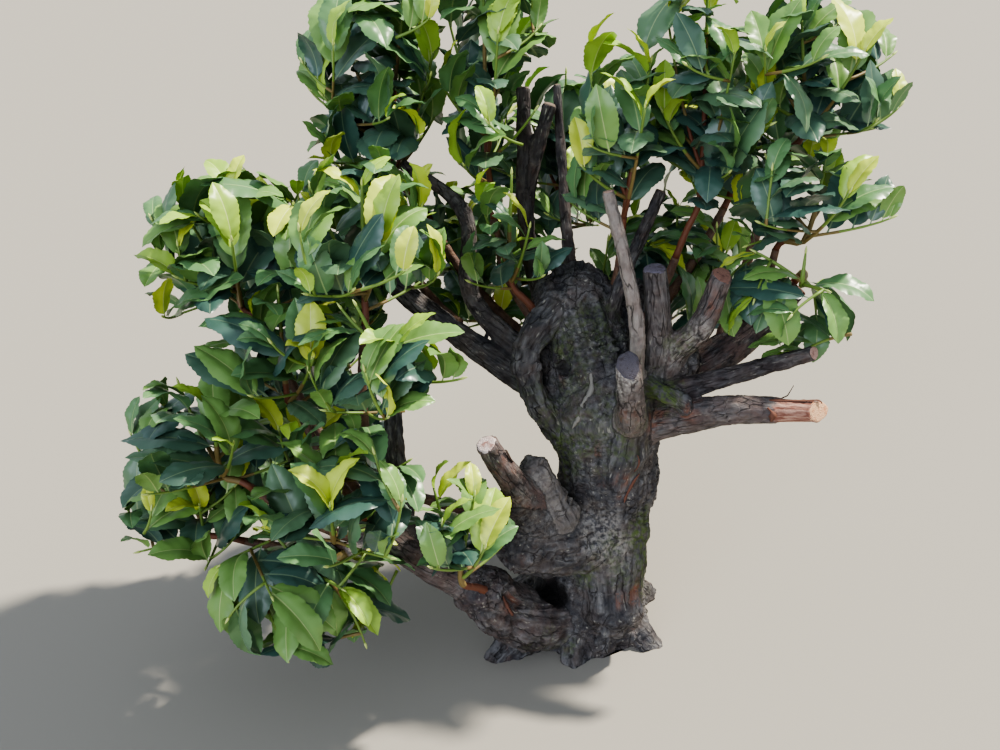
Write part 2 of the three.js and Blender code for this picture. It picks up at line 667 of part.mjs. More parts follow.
// The shoots of a mass with their leaves: a leader and its side shoots.
function growMass(name) {
  const mass = MASSES[name];
  const random = seeded(1000 + 77 * NAMES.indexOf(name));
  const growth = { name, random, inside: keepsTo(name), nets: [] };
  const { stops, leave } = STARTS[name];
  const top = shootTip(growth, 0, 0, 0) ?? add(mass.centre, [0, 0, 0.5 * mass.half[2]]);
  const curve = limbCurve({ from: stops[0], via: stops.slice(1), to: top, leave });
  const low = distance(stops[0], stops[1]) + distance(stops[1], stops[2]);
  const fork = low / (low + distance(stops[2], top));
  const r0 = mass.foot ? 6 : Math.min(LIMBS[mass.on].r1 * 0.9, 5);
  const radius = (t) => {
    if (t < fork) return r0 + ((LEADER_FORK - r0) * t) / fork;
    return LEADER_FORK + ((TWIG_TIP - LEADER_FORK) * (t - fork)) / (1 - fork);
  };
  const forks = FORKS.map((share) => fork + share * (1 - fork));
  const rings = [fork / 3, (2 * fork) / 3, ...forks];
  const shoots = [{ curve, radius, forks, share: 1 - fork, rings, apart: 0.03 }];
  for (let i = 1; i < mass.shoots; i++) {
    const shoot = sideShoot(growth, shoots[0], i);
    if (shoot) shoots.push(shoot);
  }
  growth.twigs = shoots.flatMap(({ curve: c }) =>
    [0, 1, 2, 3].map((i) => ({ a: c.at(i / 4), b: c.at((i + 1) / 4), r: TWIG_TIP }))
  );
  return shoots.map((shoot) => ({ ...shoot, leaves: leavesOn(growth, shoot) }));
}

// A shoot with its leaves as one three-sided solid. Each leaf has a ring of three points: the
// leaf leaves the shoot from the ring's first edge and a point above that edge. rings are places
// of more rings, left out where a leaf is nearer than apart. Between two rings the shorter
// diagonals are taken, so that a twisted stretch doesn't cross itself.
function shootSolid({ curve, radius, leaves, rings, apart }) {
  const points = [];
  const faces = [];
  const ring = (t, turn) => {
    const [side, up] = curve.across(t);
    return [-1, 1, 3].map((corner) => {
      const angle = turn + (corner * Math.PI) / 3;
      const p = add(curve.at(t), side, radius(t) * Math.cos(angle));
      return points.push(add(p, up, radius(t) * Math.sin(angle))) - 1;
    });
  };
  const plain = rings.filter((t) => leaves.every((leaf) => Math.abs(leaf.t - t) > apart));
  const stations = [...leaves, ...plain.map((t) => ({ t }))].sort((a, b) => a.t - b.t);
  let turn = 0;
  let last = ring(0, turn);
  let leaf = null;
  faces.push(last[0], last[2], last[1]);
  for (const station of [...stations, { end: true }]) {
    const next = station.end
      ? Array(3).fill(points.push(curve.at(1)) - 1)
      : ring(station.t, station.turn ?? turn);
    const twist = (station.turn ?? turn) - turn;
    const sides = Math.round(twist / SIDE_TURN);
    const shift = 3 - (sides % 3);
    const forward = twist > sides * SIDE_TURN;
    for (let j = 0; j < 3; j++) {
      const [a, b] = [last[j], last[(j + 1) % 3]];
      const [c, d] = [next[(j + 1 + shift) % 3], next[(j + shift) % 3]];
      if (leaf && j === 0) addLeaf(points, faces, leaf, curve, [a, b, c, d]);
      else if (station.end) faces.push(a, b, c);
      else faces.push(...(forward ? [a, b, d, b, c, d] : [a, b, c, a, c, d]));
    }
    turn = station.turn ?? turn;
    last = next;
    leaf = station.foot ? station : null;
  }
  const geometry = new THREE.BufferGeometry();
  geometry.setAttribute("position", new THREE.BufferAttribute(new Float32Array(points.flat()), 3));
  geometry.setIndex(faces);
  return solidOf(geometry);
}

// Opens the side a, b, c, d of a shoot at its lower edge and pulls a leaf out of it: folded along
// the midrib below, flat across above.
function addLeaf(points, faces, leaf, curve, [a, b, c, d]) {
  const [foot, ...outline] = leafPoints(leaf);
  const top = points.push(add(foot, curve.along(leaf.t), LEAF_FOOT)) - 1;
  const [near, far, tip, otherFar, otherNear] = outline.map((p) => points.push(p) - 1);
  faces.push(top, b, c, top, d, a);
  if (c !== d) faces.push(top, c, d);
  faces.push(a, b, tip, b, top, otherNear, top, a, near);
  faces.push(tip, b, otherNear, tip, otherNear, otherFar, a, tip, near, near, tip, far);
  faces.push(top, near, otherNear, near, far, otherNear, far, otherFar, otherNear, far, tip, otherFar);
}

function buildMass(name) {
  const solids = growMass(name).map(shootSolid);
  if (MASSES[name].foot) solids[0] = solids[0].subtract(grownStump);
  return largestBody(wasm.Manifold.union(solids));
}

function meshOf(name, solid, look) {
  const { numProp, numVert, vertProperties, triVerts } = solid.getMesh();
  const points = new Float32Array(numVert * 3);
  for (let i = 0; i < numVert; i++) {
    points.set(vertProperties.subarray(i * numProp, i * numProp + 3), i * 3);
  }
  const geometry = new THREE.BufferGeometry();
  geometry.setAttribute("position", new THREE.BufferAttribute(points, 3));
  geometry.setIndex(new THREE.BufferAttribute(triVerts, 1));
  geometry.computeVertexNormals();
  const mesh = new THREE.Mesh(geometry, new THREE.MeshStandardMaterial(look));
  mesh.name = name;
  return mesh;
}

const teaBush = new THREE.Group();
teaBush.add(meshOf("stump", buildStump(), BARK));
Object.keys(LIMBS).forEach((name, i, names) => {
  const look = LIMBS[name].young ? YOUNG_STEM : BARK;
  teaBush.add(meshOf(name, buildLimb(name, names.slice(0, i)), look));
});
for (const name of NAMES) teaBush.add(meshOf(name, buildMass(name), LEAF));

export default teaBush;
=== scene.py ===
# The looks of an old tea bush that was cut back hard and has grown again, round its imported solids.
# The tables are in millimetres, as the solids' are. Everything that is made is in metres.
import math

import bmesh
import bpy
import numpy as np
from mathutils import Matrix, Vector, noise
from mathutils.bvhtree import BVHTree


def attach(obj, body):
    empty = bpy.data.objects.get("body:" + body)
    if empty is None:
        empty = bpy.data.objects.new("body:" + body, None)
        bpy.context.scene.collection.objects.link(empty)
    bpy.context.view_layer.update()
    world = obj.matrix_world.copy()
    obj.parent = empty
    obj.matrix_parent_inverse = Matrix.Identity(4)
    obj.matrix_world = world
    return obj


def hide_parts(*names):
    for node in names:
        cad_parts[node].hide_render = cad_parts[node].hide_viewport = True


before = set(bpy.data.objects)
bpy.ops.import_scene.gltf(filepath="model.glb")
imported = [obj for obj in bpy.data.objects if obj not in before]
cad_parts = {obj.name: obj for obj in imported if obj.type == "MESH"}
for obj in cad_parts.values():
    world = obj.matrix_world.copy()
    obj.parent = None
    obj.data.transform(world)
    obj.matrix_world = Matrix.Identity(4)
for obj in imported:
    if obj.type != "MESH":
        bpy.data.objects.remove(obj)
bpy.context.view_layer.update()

MM = 0.001

# Camera: the photograph's viewing angle
CAMERA_PLACE = (-0.09692, -1.13065, 0.88799)
CAMERA_PITCH = 25.0  # degrees below the horizon
CAMERA_LENS = 39.0
CAMERA_SENSOR = 36.0


def bar(start, end, r0, r1, **more):
    """A tapering limb with its radius at each end. bow bends it sideways, via are points on its way
    and slant tips its saw cut."""
    return dict(start=start, end=end, r0=r0, r1=r1, **more)


# The stump's own lumps. The column widens downwards to the root flare and upwards to the knuckled
# head that the stubs were cut back to. The end of a buried lump doesn't show.
STUMP = {
    "foot": bar((8, 24, -30), (30, 4, 118), 84, 52, buried=True),
    "bulge": bar((36, 4, 168), (40, -26, 94), 44, 38),
    "waist": bar((34, 4, 110), (28, 34, 300), 47, 64, bow=(10, -8, 0), buried=True),
    "head": bar((26, 38, 286), (2, 74, 374), 66, 50),
    "right_shoulder": bar((40, 30, 276), (88, 32, 344), 44, 34, bow=(6, 0, -10)),
    "back_shoulder": bar((10, 70, 290), (52, 112, 378), 46, 32, bow=(0, 8, 0)),
    "winding_ridge": bar(
        (-22, 66, 424), (-34, 8, 292), 17, 15,
        via=((-50, 40, 404), (-66, 22, 378), (-66, 13, 354), (-52, 6, 324)),
    ),
    "face_ridge": bar((34, -4, 212), (52, 0, 312), 30, 26, bow=(8, -22, 0)),
    "mossy_spur": bar((62, 2, 352), (104, -34, 341), 12, 9, bow=(4, -14, 6)),
    "left_lobe": bar((26, -2, 156), (-42, -38, 164), 44, 36, bow=(-4, -10, -8)),
    "left_lobe_neck": bar((-44, -38, 168), (-68, -58, 218), 33, 20),
    "left_knob": bar((-30, -40, 196), (-52, -44, 250), 26, 16),
    "low_lobe": bar((-24, -16, 34), (-98, -66, 100), 38, 33, bow=(-20, -16, -22)),
}
# Roots run out from the foot and dive into the ground: angle round the foot, reach and radii.
ROOTS = {
    "left_root": (214, 150, 36, 18),
    "front_root": (262, 104, 30, 13),
    "right_root": (330, 122, 32, 13),
    "far_right_root": (32, 132, 34, 14),
    "back_root": (96, 126, 34, 14),
    "far_left_root": (152, 134, 34, 14),
}
ROOT_CENTRE = (8, 20)
ROOT_TOP = 60
ROOT_START = 18  # from the centre
ROOT_END = -22
ROOT_BOW = (0, 0, -12)
HOLLOW = dict(centre=(-32, 2, 362), half=(17, 26, 14))

# Sawn stubs and poles
STUBS = {
    "lobe_stub": bar((-52, -44, 204), (-112, -111, 331), 20, 12, bow=(4, 0, -14)),
    "face_stub": bar((56, 6, 290), (42, -64, 402), 20, 13.5, bow=(4, -28, -18), slant=(0, 0.9)),
    "upright_stub": bar((84, 34, 320), (74, 4, 489), 18, 13.5, via=((85, 6, 384),), slant=(0, 0.1)),
    "hooked_stub": bar(
        (86, 20, 346), (146, -12, 487), 18, 12, via=((102, 4, 388), (128, -8, 424)), slant=(-0.4, 0),
    ),
    "thick_right_stub": bar((80, 34, 322), (253, 92, 438), 24, 20, bow=(16, 0, -30)),
    "upper_side_stub": bar(
        (82, 0, 334), (261, -1, 389), 13, 8.5, via=((122, -12, 352),), slant=(-0.8, -0.3),
    ),
    "lower_side_stub": bar(
        (62, 8, 288), (254, -66, 347), 22, 12.5, via=((114, -20, 316), (166, -48, 340)),
        slant=(0.3, -0.9),
    ),
    "pale_pole": bar((60, -4, 344), (19, 4, 576), 9.5, 7, via=((54, -18, 436),)),
    "dark_pole": bar((26, 44, 368), (88, 85, 554), 9, 7, via=((36, 57, 425),)),
    "back_pole_left": bar((-32, 100, 372), (-70, 172, 655), 12, 8, via=((-62, 148, 470),)),
    "back_pole_right": bar((-65, 160, 526), (-38, 160, 638), 8.5, 8, bow=(-2, 0, 0)),
    "back_pole_thin": bar((0, 100, 380), (-29, 190, 655), 9, 5, via=((-16, 140, 490),)),
    "bent_branch": bar(
        (-46, 60, 345), (-213, 140, 572), 14, 6.5, via=((-130, 90, 420), (-140, 120, 518)),
    ),
    "shaded_stub": bar((-40, 52, 312), (-232, 82, 450), 18, 12, bow=(4, 0, -16)),
    "low_left_stub": bar((-92, -58, 92), (-243, -114, 238), 21, 14, bow=(-10, -8, -20)),
    "fork_stub": bar((-222, -106, 214), (-266, -134, 208), 10, 8, bow=(0, 0, 6)),
    "hidden_stub": bar((-196, -90, 180), (-209, -62, 428), 12, 9, bow=(-22, 6, 0)),
}

# Young stems that carry a mass away from the old wood
STEMS = {
    "stem_upper_left": bar((-26, 94, 336), (-176, 156, 486), 8, 5, bow=(-28, 26, -20)),
    "stem_upper_middle": bar((-18, 88, 348), (-104, 152, 500), 7, 5, bow=(-36, 6, -10)),
    "stem_right_tall": bar((62, 84, 366), (112, 96, 470), 7.5, 5, bow=(8, 10, -10)),
    "stem_right_inner": bar((30, 88, 384), (44, 78, 480), 6.5, 4.5, bow=(4, 6, 0)),
    "stem_right_outer": bar((160, 58, 362), (222, 108, 570), 7, 5, bow=(10, 20, -10)),
    "stem_right_low": bar((188, 66, 384), (222, 66, 490), 6, 4.5, bow=(10, 4, -10)),
    "stem_right_back": bar((66, 116, 360), (186, 200, 500), 8, 5, bow=(8, 8, -30)),
    "stem_back": bar((10, 114, 316), (-10, 226, 440), 8, 5.5, bow=(0, 30, -26)),
    "stem_left_waist": bar((-146, 70, 396), (-200, 116, 440), 7, 5, bow=(-6, 14, -12)),
    "stem_left_back_low": bar((4, 24, 120), (-276, 84, 170), 10, 5.5, bow=(-10, 22, -14)),
    "stem_left_high": bar((-214, -98, 200), (-240, -66, 450), 6, 4.5, bow=(-30, -20, 0)),
    "stem_left_far": bar((-226, -104, 222), (-360, -4, 420), 6, 4.5, bow=(-16, 24, -30)),
    "stem_left_middle": bar((-230, -108, 226), (-316, -68, 345), 5.5, 4.5, bow=(-10, -6, -18)),
    "stem_left_outer": bar((-246, -120, 212), (-366, -112, 276), 5.5, 4.5, bow=(-14, 4, -12)),
    "stem_left_low": bar((-244, -120, 209), (-392, -70, 180), 5.5, 4.5, bow=(-8, 4, -16)),
}


def ball(centre, half, shoots, **more):
    """A mass of foliage in its ellipsoid. on is the limb whose tip carries it, where that isn't the
    stem of its own name, and foot is its root in the stump, where no limb does. lead is the tip of
    its longest shoot, fork where its leader forks, as a share of half's height from the centre, and
    leaf makes its leaves smaller."""
    return dict(centre=centre, half=half, shoots=shoots, **more)


MASSES = {
    "crown_upper_left": ball((-226, 158, 648), (116, 106, 164), 6, lead=(-204, 160, 778)),
    "crown_upper_middle": ball((-112, 158, 660), (92, 100, 160), 6, lead=(-116, 150, 782)),
    "crown_left_waist": ball((-232, 122, 524), (116, 98, 88), 5),
    "crown_centre": ball((-84, 66, 500), (70, 62, 92), 4, foot=(-44, 66, 400), leaf=0.72),
    "crown_right_tall": ball((134, 92, 640), (90, 92, 180), 6, lead=(124, 92, 794)),
    "crown_right_inner": ball((44, 64, 610), (84, 90, 150), 5, lead=(72, 60, 735)),
    "crown_right_outer": ball((250, 112, 672), (108, 102, 110), 5, lead=(232, 104, 742)),
    "crown_right_low": ball((248, 48, 552), (100, 86, 84), 4, lead=(262, 46, 604)),
    "crown_right_hanging": ball(
        (244, 22, 446), (98, 68, 88), 4, on="thick_right_stub", hang=True,
    ),
    "crown_right_back": ball((206, 226, 590), (122, 116, 142), 5, fork=-0.3),
    "crown_left_high": ball((-240, -60, 532), (90, 90, 104), 4, lead=(-236, -62, 600)),
    "crown_left_front": ball(
        (-216, -124, 444), (90, 82, 92), 4, on="hidden_stub", fork=0.05, lead=(-238, -138, 500),
    ),
    "crown_left_far": ball((-386, 0, 504), (106, 104, 108), 5, lead=(-384, -4, 582)),
    "crown_left_middle": ball((-328, -72, 412), (106, 96, 92), 4),
    "crown_left_outer": ball((-400, -106, 334), (108, 96, 82), 4, lead=(-396, -118, 376)),
    "crown_left_low": ball((-446, -50, 228), (98, 104, 86), 4),
    "crown_left_front_low": ball(
        (-272, -168, 296), (100, 90, 90), 4, on="low_left_stub", lead=(-262, -176, 340),
    ),
    "crown_left_skirt": ball(
        (-300, -140, 166), (118, 96, 84), 5, on="fork_stub", hang=True, lead=(-352, -160, 160),
    ),
    "crown_left_back": ball((-334, 112, 440), (116, 106, 112), 4, on="shaded_stub", fork=-0.1),
    "crown_left_back_low": ball((-352, 92, 232), (122, 106, 108), 4),
    "crown_front_sprig": ball(
        (-140, -146, 232), (64, 62, 92), 3, foot=(-100, -76, 106), leaf=0.8, lead=(-124, -154, 292),
    ),
    "crown_back": ball((-14, 264, 542), (114, 102, 134), 4),
    "crown_back_left": ball((-110, 236, 420), (118, 100, 112), 4, foot=(-6, 80, 296)),
    "crown_back_right": ball((130, 212, 414), (114, 100, 108), 4, foot=(40, 94, 310)),
}

# Openings in the crown that no leaf grows into, where old wood shows: over, between and under the
# poles, and before the upper side stub
OPENINGS = {
    "over": bar((-54, 160, 634), (-58, -20, 674), 40, 30),
    "between": bar((-50, 160, 570), (-54, -20, 610), 38, 28),
    "under": bar((-44, 140, 510), (-48, -20, 546), 22, 18),
    "before": bar((262, 2, 388), (224, -120, 442), 14, 12),
}

# The rule that the shoots grow by, which is the solids' rule
GAP = 0.3  # between a limb's tip and the leader that goes on from it
LIMB_CLEAR = 2.5  # between a leaf or twig and any limb
TIP_CLEAR = 6  # between the tip of a shoot and any limb
SHOOT_CLEAR = 5  # between the rest of a shoot and any limb
TWIG_CLEAR = 1.5  # between a leaf and the shoots of its mass
LEAF_APART = 4.5  # between points of two leaves
LEAF_NEAR = 150  # leaves whose points are further than this from a leaf's foot aren't tested
LEAF_OVER = 12  # how far a leaf may reach into the next mass
LEAF_OUT = 0.4  # and out of its ellipsoid, as a share of that
SPACE_CLEAR = 1.2  # between a leaf or twig and the edge of its mass's space
WOOD_NEAR = 330  # wood further than this from a mass's centre isn't tested
GROUND_CLEAR = 8  # between a leaf and the ground
SHOOT_SEEDS = (1000, 77)  # of the first mass, as in the solids, and the step to the next
LEAF_SEED = 500
SHAPE_SEED = 900
GOLDEN_ANGLE = 2.39996
TURNS = (0, 1.1, -1.1, 2.2, -2.2, 3.1)  # turns that are tried for a side shoot or a leaf
FORKS = (0.14, 0, 0.28)  # where side shoots leave a leader, as shares of its length above the fork
FORK_HIGH = -0.55  # of a leader's fork over its mass's centre, as a share of half the mass's height
HANGING_FORK_HIGH = 0.2
LEADER_BEND = 0.45  # how far a leader keeps its limb's direction, as a share of the way to its fork
LEADER_FOOT = 5  # the largest radius of a leader's foot on a limb
ROOTED_FOOT = 6  # and in the stump
LEADER_FORK = 3.6  # radius of a leader at its fork
LEADER_HIGH = 0.85  # of a leader's tip, where lead isn't given
SIDE_HIGH = (0.6, -0.35)  # of the tips of side shoots, from the first to the last
SIDE_WIDE = (0.58, 0.72)  # how far out they are, least and most
SIDE_TURN = 0.6  # the most that they turn on from the golden angle, in radians
SIDE_BEND = (0.6, 0.6, 0.4)  # where a side shoot bends, as shares of the way to its tip
HANGING_BEND = (0.6, 0.6, 0.7)
PULL_IN = 0.9  # a tip that doesn't fit is pulled in to this share of its way from the centre
PULLS = 8  # the most times
TWIG_FOOT = 2.6
TWIG_TIP = 1.3
LEAFY = 0.86  # share of a shoot's length that has leaves
LEADER_BARE = 0.9  # share of a leader's lower part that has none
FINE_FOOT = 1.9
FINE_TIP = 1.1
FINE_TRIES = 40  # places that are tried for the tip of a thinner shoot
FINE_REACH = (0.25, 0.98)  # how far out they lie, least and most
FINE_FEET = (0.6, 0.85)  # where it may start: as a share of what lies below the fork, and of the shoot
UNFORKED = 0.12  # taken as the fork of a shoot that has none
FINE_RISE = 20  # how far it should rise from there
FLAT_COST = 1.5  # what a place is put back for each millimetre less
FINE_BENDS = (0.18, 0.08, 0)  # how much it bends, as shares of its length: the first that fits
FINE_SAG = 0.6  # how much of that is downwards
HANGING_SAG = -0.4

# Leaves: closer together and smaller than the solids', which are fewer
LEAF_LENGTH = 94
LEAF_WIDTH = 0.47  # share of its length
LEAF_SIZES = (1, 0.85, 0.7)  # sizes that are tried
LEAF_VARIES = (0.8, 1.16)  # from leaf to leaf
VIGOUR = (0.86, 1.1)  # from shoot to shoot
TIP_LEAF = 0.66  # size of the leaf at a shoot's tip
LEAF_SPREAD = (0.6, 1.15)  # angle between a leaf and its shoot, at the tip and further down
SPREAD_VARIES = 0.35
DROOP = 0.25
HANGING_DROOP = 0.8
DROOP_VARIES = (0.3, 1.3)
LEAF_ROOT = 0.8  # of the shoot's radius, from its middle to a leaf's foot
LEAF_FACES = (0.4, 0.1)  # how much its upper side turns along the shoot and outwards
INTERNODES = (11, 25)  # at the tip and further down
FULL_SIZE = 2  # the leaf, counted from the tip, that has the full size
FULL_INTERNODE = 3
FULL_SPREAD = 4
YOUNG_LEAVES = (1, 3)  # on a shoot, from the first number to below the second
FINE_YOUNG_LEAVES = (0, 2)
FRESH_LEAVES = 2
TIP_INTERNODE = 3  # from the tip of a shoot to its first leaf
FINE_SHOOTS = 20  # the most thinner shoots that fill a large mass between its main ones
LARGE_MASS = 1.2e6  # product of the half sizes of a large mass
FEWER = 0.8  # power by which a smaller mass has fewer thinner shoots
FEWEST_LEAVES = 3  # a thinner shoot with fewer is left out
ROOM = 26  # a thin shoot's tip is at least this far from other shoots


def unit(a):
    a = np.asarray(a, float)
    return a / np.linalg.norm(a, axis=-1, keepdims=True)


def mix(a, b, t):
    return a + (b - a) * np.asarray(t, float)[..., None]


def within(span, share):
    """The value that lies this share of the way through a span."""
    return span[0] + (span[1] - span[0]) * share


def steps_of(points):
    """The distances between points that follow each other."""
    return np.linalg.norm(np.diff(points, axis=0), axis=1)


class Curve:
    """A smooth line. at gives the points at an array of places from 0 to 1."""

    def __init__(self, at, steps):
        self.at = at
        self.steps = steps
        self.length = float(steps_of(at(np.linspace(0, 1, 9))).sum())
        self.least = np.eye(3)[np.abs(at(1.0) - at(0.0)).argmin()]

    def along(self, t):
        t = np.asarray(t, float)
        return unit(self.at(np.minimum(1, t + 0.01)) - self.at(np.maximum(0, t - 0.01)))

    def across(self, t):
        along = self.along(t)
        side = unit(self.least - along * (along @ self.least)[..., None])
        return side, np.cross(along, side)


def bend(start, via, end, steps=3):
    return Curve(lambda t: mix(mix(start, via, t), mix(via, end, t), t), steps)


def evenly(at, steps):
    """The same curve with its places measured along its length."""
    places = np.linspace(0, 1, 25)
    gone = np.concatenate([[0], np.cumsum(steps_of(at(places)))])
    return Curve(lambda t: at(np.interp(np.asarray(t, float) * gone[-1], gone, places)), steps)


def limb_curve(limb):
    start = np.array(limb["start"], float)
    end = np.array(limb["end"], float)
    if "via" not in limb:
        middle = (start + end) / 2 + limb.get("bow", (0, 0, 0))
        return bend(start, middle, end, 4 if limb.get("blunt") else 3)
    stops = np.array([start, *limb["via"], end], float)
    last = len(stops) - 1
    order = np.arange(last + 1)
    ways = unit(stops[np.minimum(last, order + 1)] - stops[np.maximum(0, order - 1)])
    if "leave" in limb:
        ways[0] = limb["leave"]
    spans = steps_of(stops)

    def at(t):
        t = np.asarray(t, float)
        i = np.minimum(last - 1, np.floor(t * last)).astype(int)
        u = t * last - i
        p = mix(stops[i], stops[i + 1], u * u * (3 - 2 * u))
        p = p + ways[i] * (spans[i] * u * (1 - u) ** 2)[..., None]
        return p - ways[i + 1] * (spans[i] * u * u * (1 - u))[..., None]

    return evenly(at, int(1.5 * last + 0.5))


def radius_at(limb, t):
    return within((limb["r0"], limb["r1"]), np.asarray(t))


def seeded(state):
    """The same numbers in the same order each time, as in the solids."""

    def draw():
        nonlocal state
        state = (state * 1664525 + 1013904223) % 4294967296
        return state / 4294967296

    return draw


def blunt_end(lump):
    """The end of a lump that shows goes on a little."""
    before = np.array(lump["via"][-1] if "via" in lump else lump["start"], float)
    end = np.array(lump["end"], float)
    return {**lump, "end": end + unit(end - before) * lump["r1"] * 0.8, "blunt": True}


def root_of(turn, reach, r0, r1):
    way = np.array([math.cos(math.radians(turn)), math.sin(math.radians(turn)), 0])
    start = np.array([*ROOT_CENTRE, ROOT_TOP]) + way * ROOT_START
    return bar(start, np.array([*ROOT_CENTRE, ROOT_END]) + way * reach, r0, r1, bow=ROOT_BOW)


STUMP_PARTS = {
    **{name: lump if lump.get("buried") else blunt_end(lump) for name, lump in STUMP.items()},
    **{name: root_of(*root) for name, root in ROOTS.items()},
}


def nearest(points, a, b):
    """Where each straight piece from a to b comes nearest to each point, and the way out there."""
    ab = b - a
    ap = points[..., None, :] - a
    t = np.clip((ap * ab).sum(-1) / (ab * ab).sum(-1), 0, 1)
    return t, ap - ab * t[..., None]


class Bars:
    """Straight pieces of wood, for the tests that keep leaves clear of it."""

    def __init__(self, owner, a, b, r):
        self.owner, self.a, self.b, self.r = owner, a, b, r

    def only(self, chosen):
        return Bars(self.owner[chosen], self.a[chosen], self.b[chosen], self.r[chosen])

    def distance(self, points):
        """The gap from each point to the nearest piece."""
        out = nearest(points, self.a, self.b)[1]
        return (np.linalg.norm(out, axis=-1) - self.r).min(axis=-1)


def bars_of(limbs):
    rows = []
    for owner, limb in limbs.items():
        curve = limb_curve(limb)
        places = np.linspace(0, 1, 2 * curve.steps + 1)
        points = curve.at(places)
        rows += zip([owner] * len(points), points[:-1], points[1:], radius_at(limb, places))
    return Bars(*map(np.array, zip(*rows)))


def leader_start(name):
    """The lower part of a mass's leader: its first direction, three points on it and its radius."""
    own = MASSES[name]
    low = own.get("fork", HANGING_FORK_HIGH if own.get("hang") else FORK_HIGH)
    fork = np.array(own["centre"], float) + (0, 0, own["half"][2] * low)
    if "foot" in own:
        foot = np.array(own["foot"], float)
        return unit(fork - foot), np.array([foot, (foot + fork) / 2, fork]), ROOTED_FOOT
    limb = {**STUBS, **STEMS}[own.get("on", name.replace("crown", "stem"))]
    leave = limb_curve(limb).along(1)
    foot = np.array(limb["end"]) + leave * GAP
    via = foot + leave * np.linalg.norm(foot - fork) * LEADER_BEND
    r0 = min(limb["r1"] * 0.9, LEADER_FOOT)
    return leave, np.array([foot, (foot + 2 * via + fork) / 4, fork]), r0


NAMES = list(MASSES)
STARTS = {name: leader_start(name) for name in NAMES}
LOWER_LEADERS = {
    name: bar(stops[0], stops[2], 5, 4, via=[stops[1]], leave=leave)
    for name, (leave, stops, _) in STARTS.items()
}
WOOD = bars_of({**STUMP_PARTS, **STUBS, **STEMS, **LOWER_LEADERS})
OPEN = bars_of(OPENINGS)


def reach_of(half, way):
    """How far an ellipsoid reaches one way from its centre."""
    return 1 / np.linalg.norm(np.asarray(way) / np.asarray(half, float), axis=-1)


class Space:
    """The room of one mass: an ellipsoid, cut off by a plane towards each neighbour."""

    def __init__(self, name):
        self.name = name
        self.own = MASSES[name]
        self.hang = self.own.get("hang", False)
        self.centre = np.array(self.own["centre"], float)
        self.half = np.array(self.own["half"], float)
        others = [MASSES[other] for other in NAMES if other != name]
        gaps = np.array([other["centre"] for other in others]) - self.centre
        self.way = unit(gaps)
        mine = reach_of(self.half, self.way)
        theirs = np.array([reach_of(other["half"], n) for other, n in zip(others, self.way)])
        self.far = np.linalg.norm(gaps, axis=1) * mine / (mine + theirs) - SPACE_CLEAR
        near = np.linalg.norm(WOOD.a - self.centre, axis=1) < WOOD_NEAR
        self.wood = WOOD.only(near & (WOOD.owner != name))

    def holds(self, points, over=0.0):
        """Whether points lie in the room. Leaves may reach over its edges a little."""
        q = points - self.centre
        near = np.linalg.norm(q / (self.half + LEAF_OUT * over), axis=-1) < 1
        held = (q @ self.way.T < self.far + over).all(axis=-1)
        return near & held & (points[..., 2] > GROUND_CLEAR)

    def clear(self, points, gap=LIMB_CLEAR):
        return self.wood.distance(points) > gap


def shoot_tip(space, i, turn, wide):
    """The tip of a shoot, pulled in towards the centre until it lies in the mass's own space."""
    high = within(SIDE_HIGH, (i - 1) / (space.own["shoots"] - 1)) if i else LEADER_HIGH
    out = wide * math.sqrt(1 - high * high)
    way = space.half * (out * math.cos(turn), out * math.sin(turn), high)
    if i == 0 and "lead" in space.own:
        way = np.array(space.own["lead"]) - space.centre
    for _ in range(PULLS):
        tip = space.centre + way
        if space.holds(tip) and space.clear(tip, TIP_CLEAR):
            return tip
        way = way * PULL_IN
    return None


def side_shoot(space, leader, i, draw):
    """A side shoot leaves the leader outwards near the fork and turns up towards the light."""
    start = leader["curve"].at(leader["forks"][(i - 1) % len(FORKS)])
    turn = i * GOLDEN_ANGLE + SIDE_TURN * draw()
    wide = within(SIDE_WIDE, draw())
    for turned in TURNS:
        tip = shoot_tip(space, i, turn + turned, wide)
        if tip is None:
            continue
        via = start + (tip - start) * (HANGING_BEND if space.hang else SIDE_BEND)
        curve = bend(start, via, tip)
        if space.clear(curve.at(np.linspace(0.15, 0.92, 12)), SHOOT_CLEAR).all():
            return dict(curve=curve, r0=TWIG_FOOT, r1=TWIG_TIP, leafy=LEAFY)
    return None


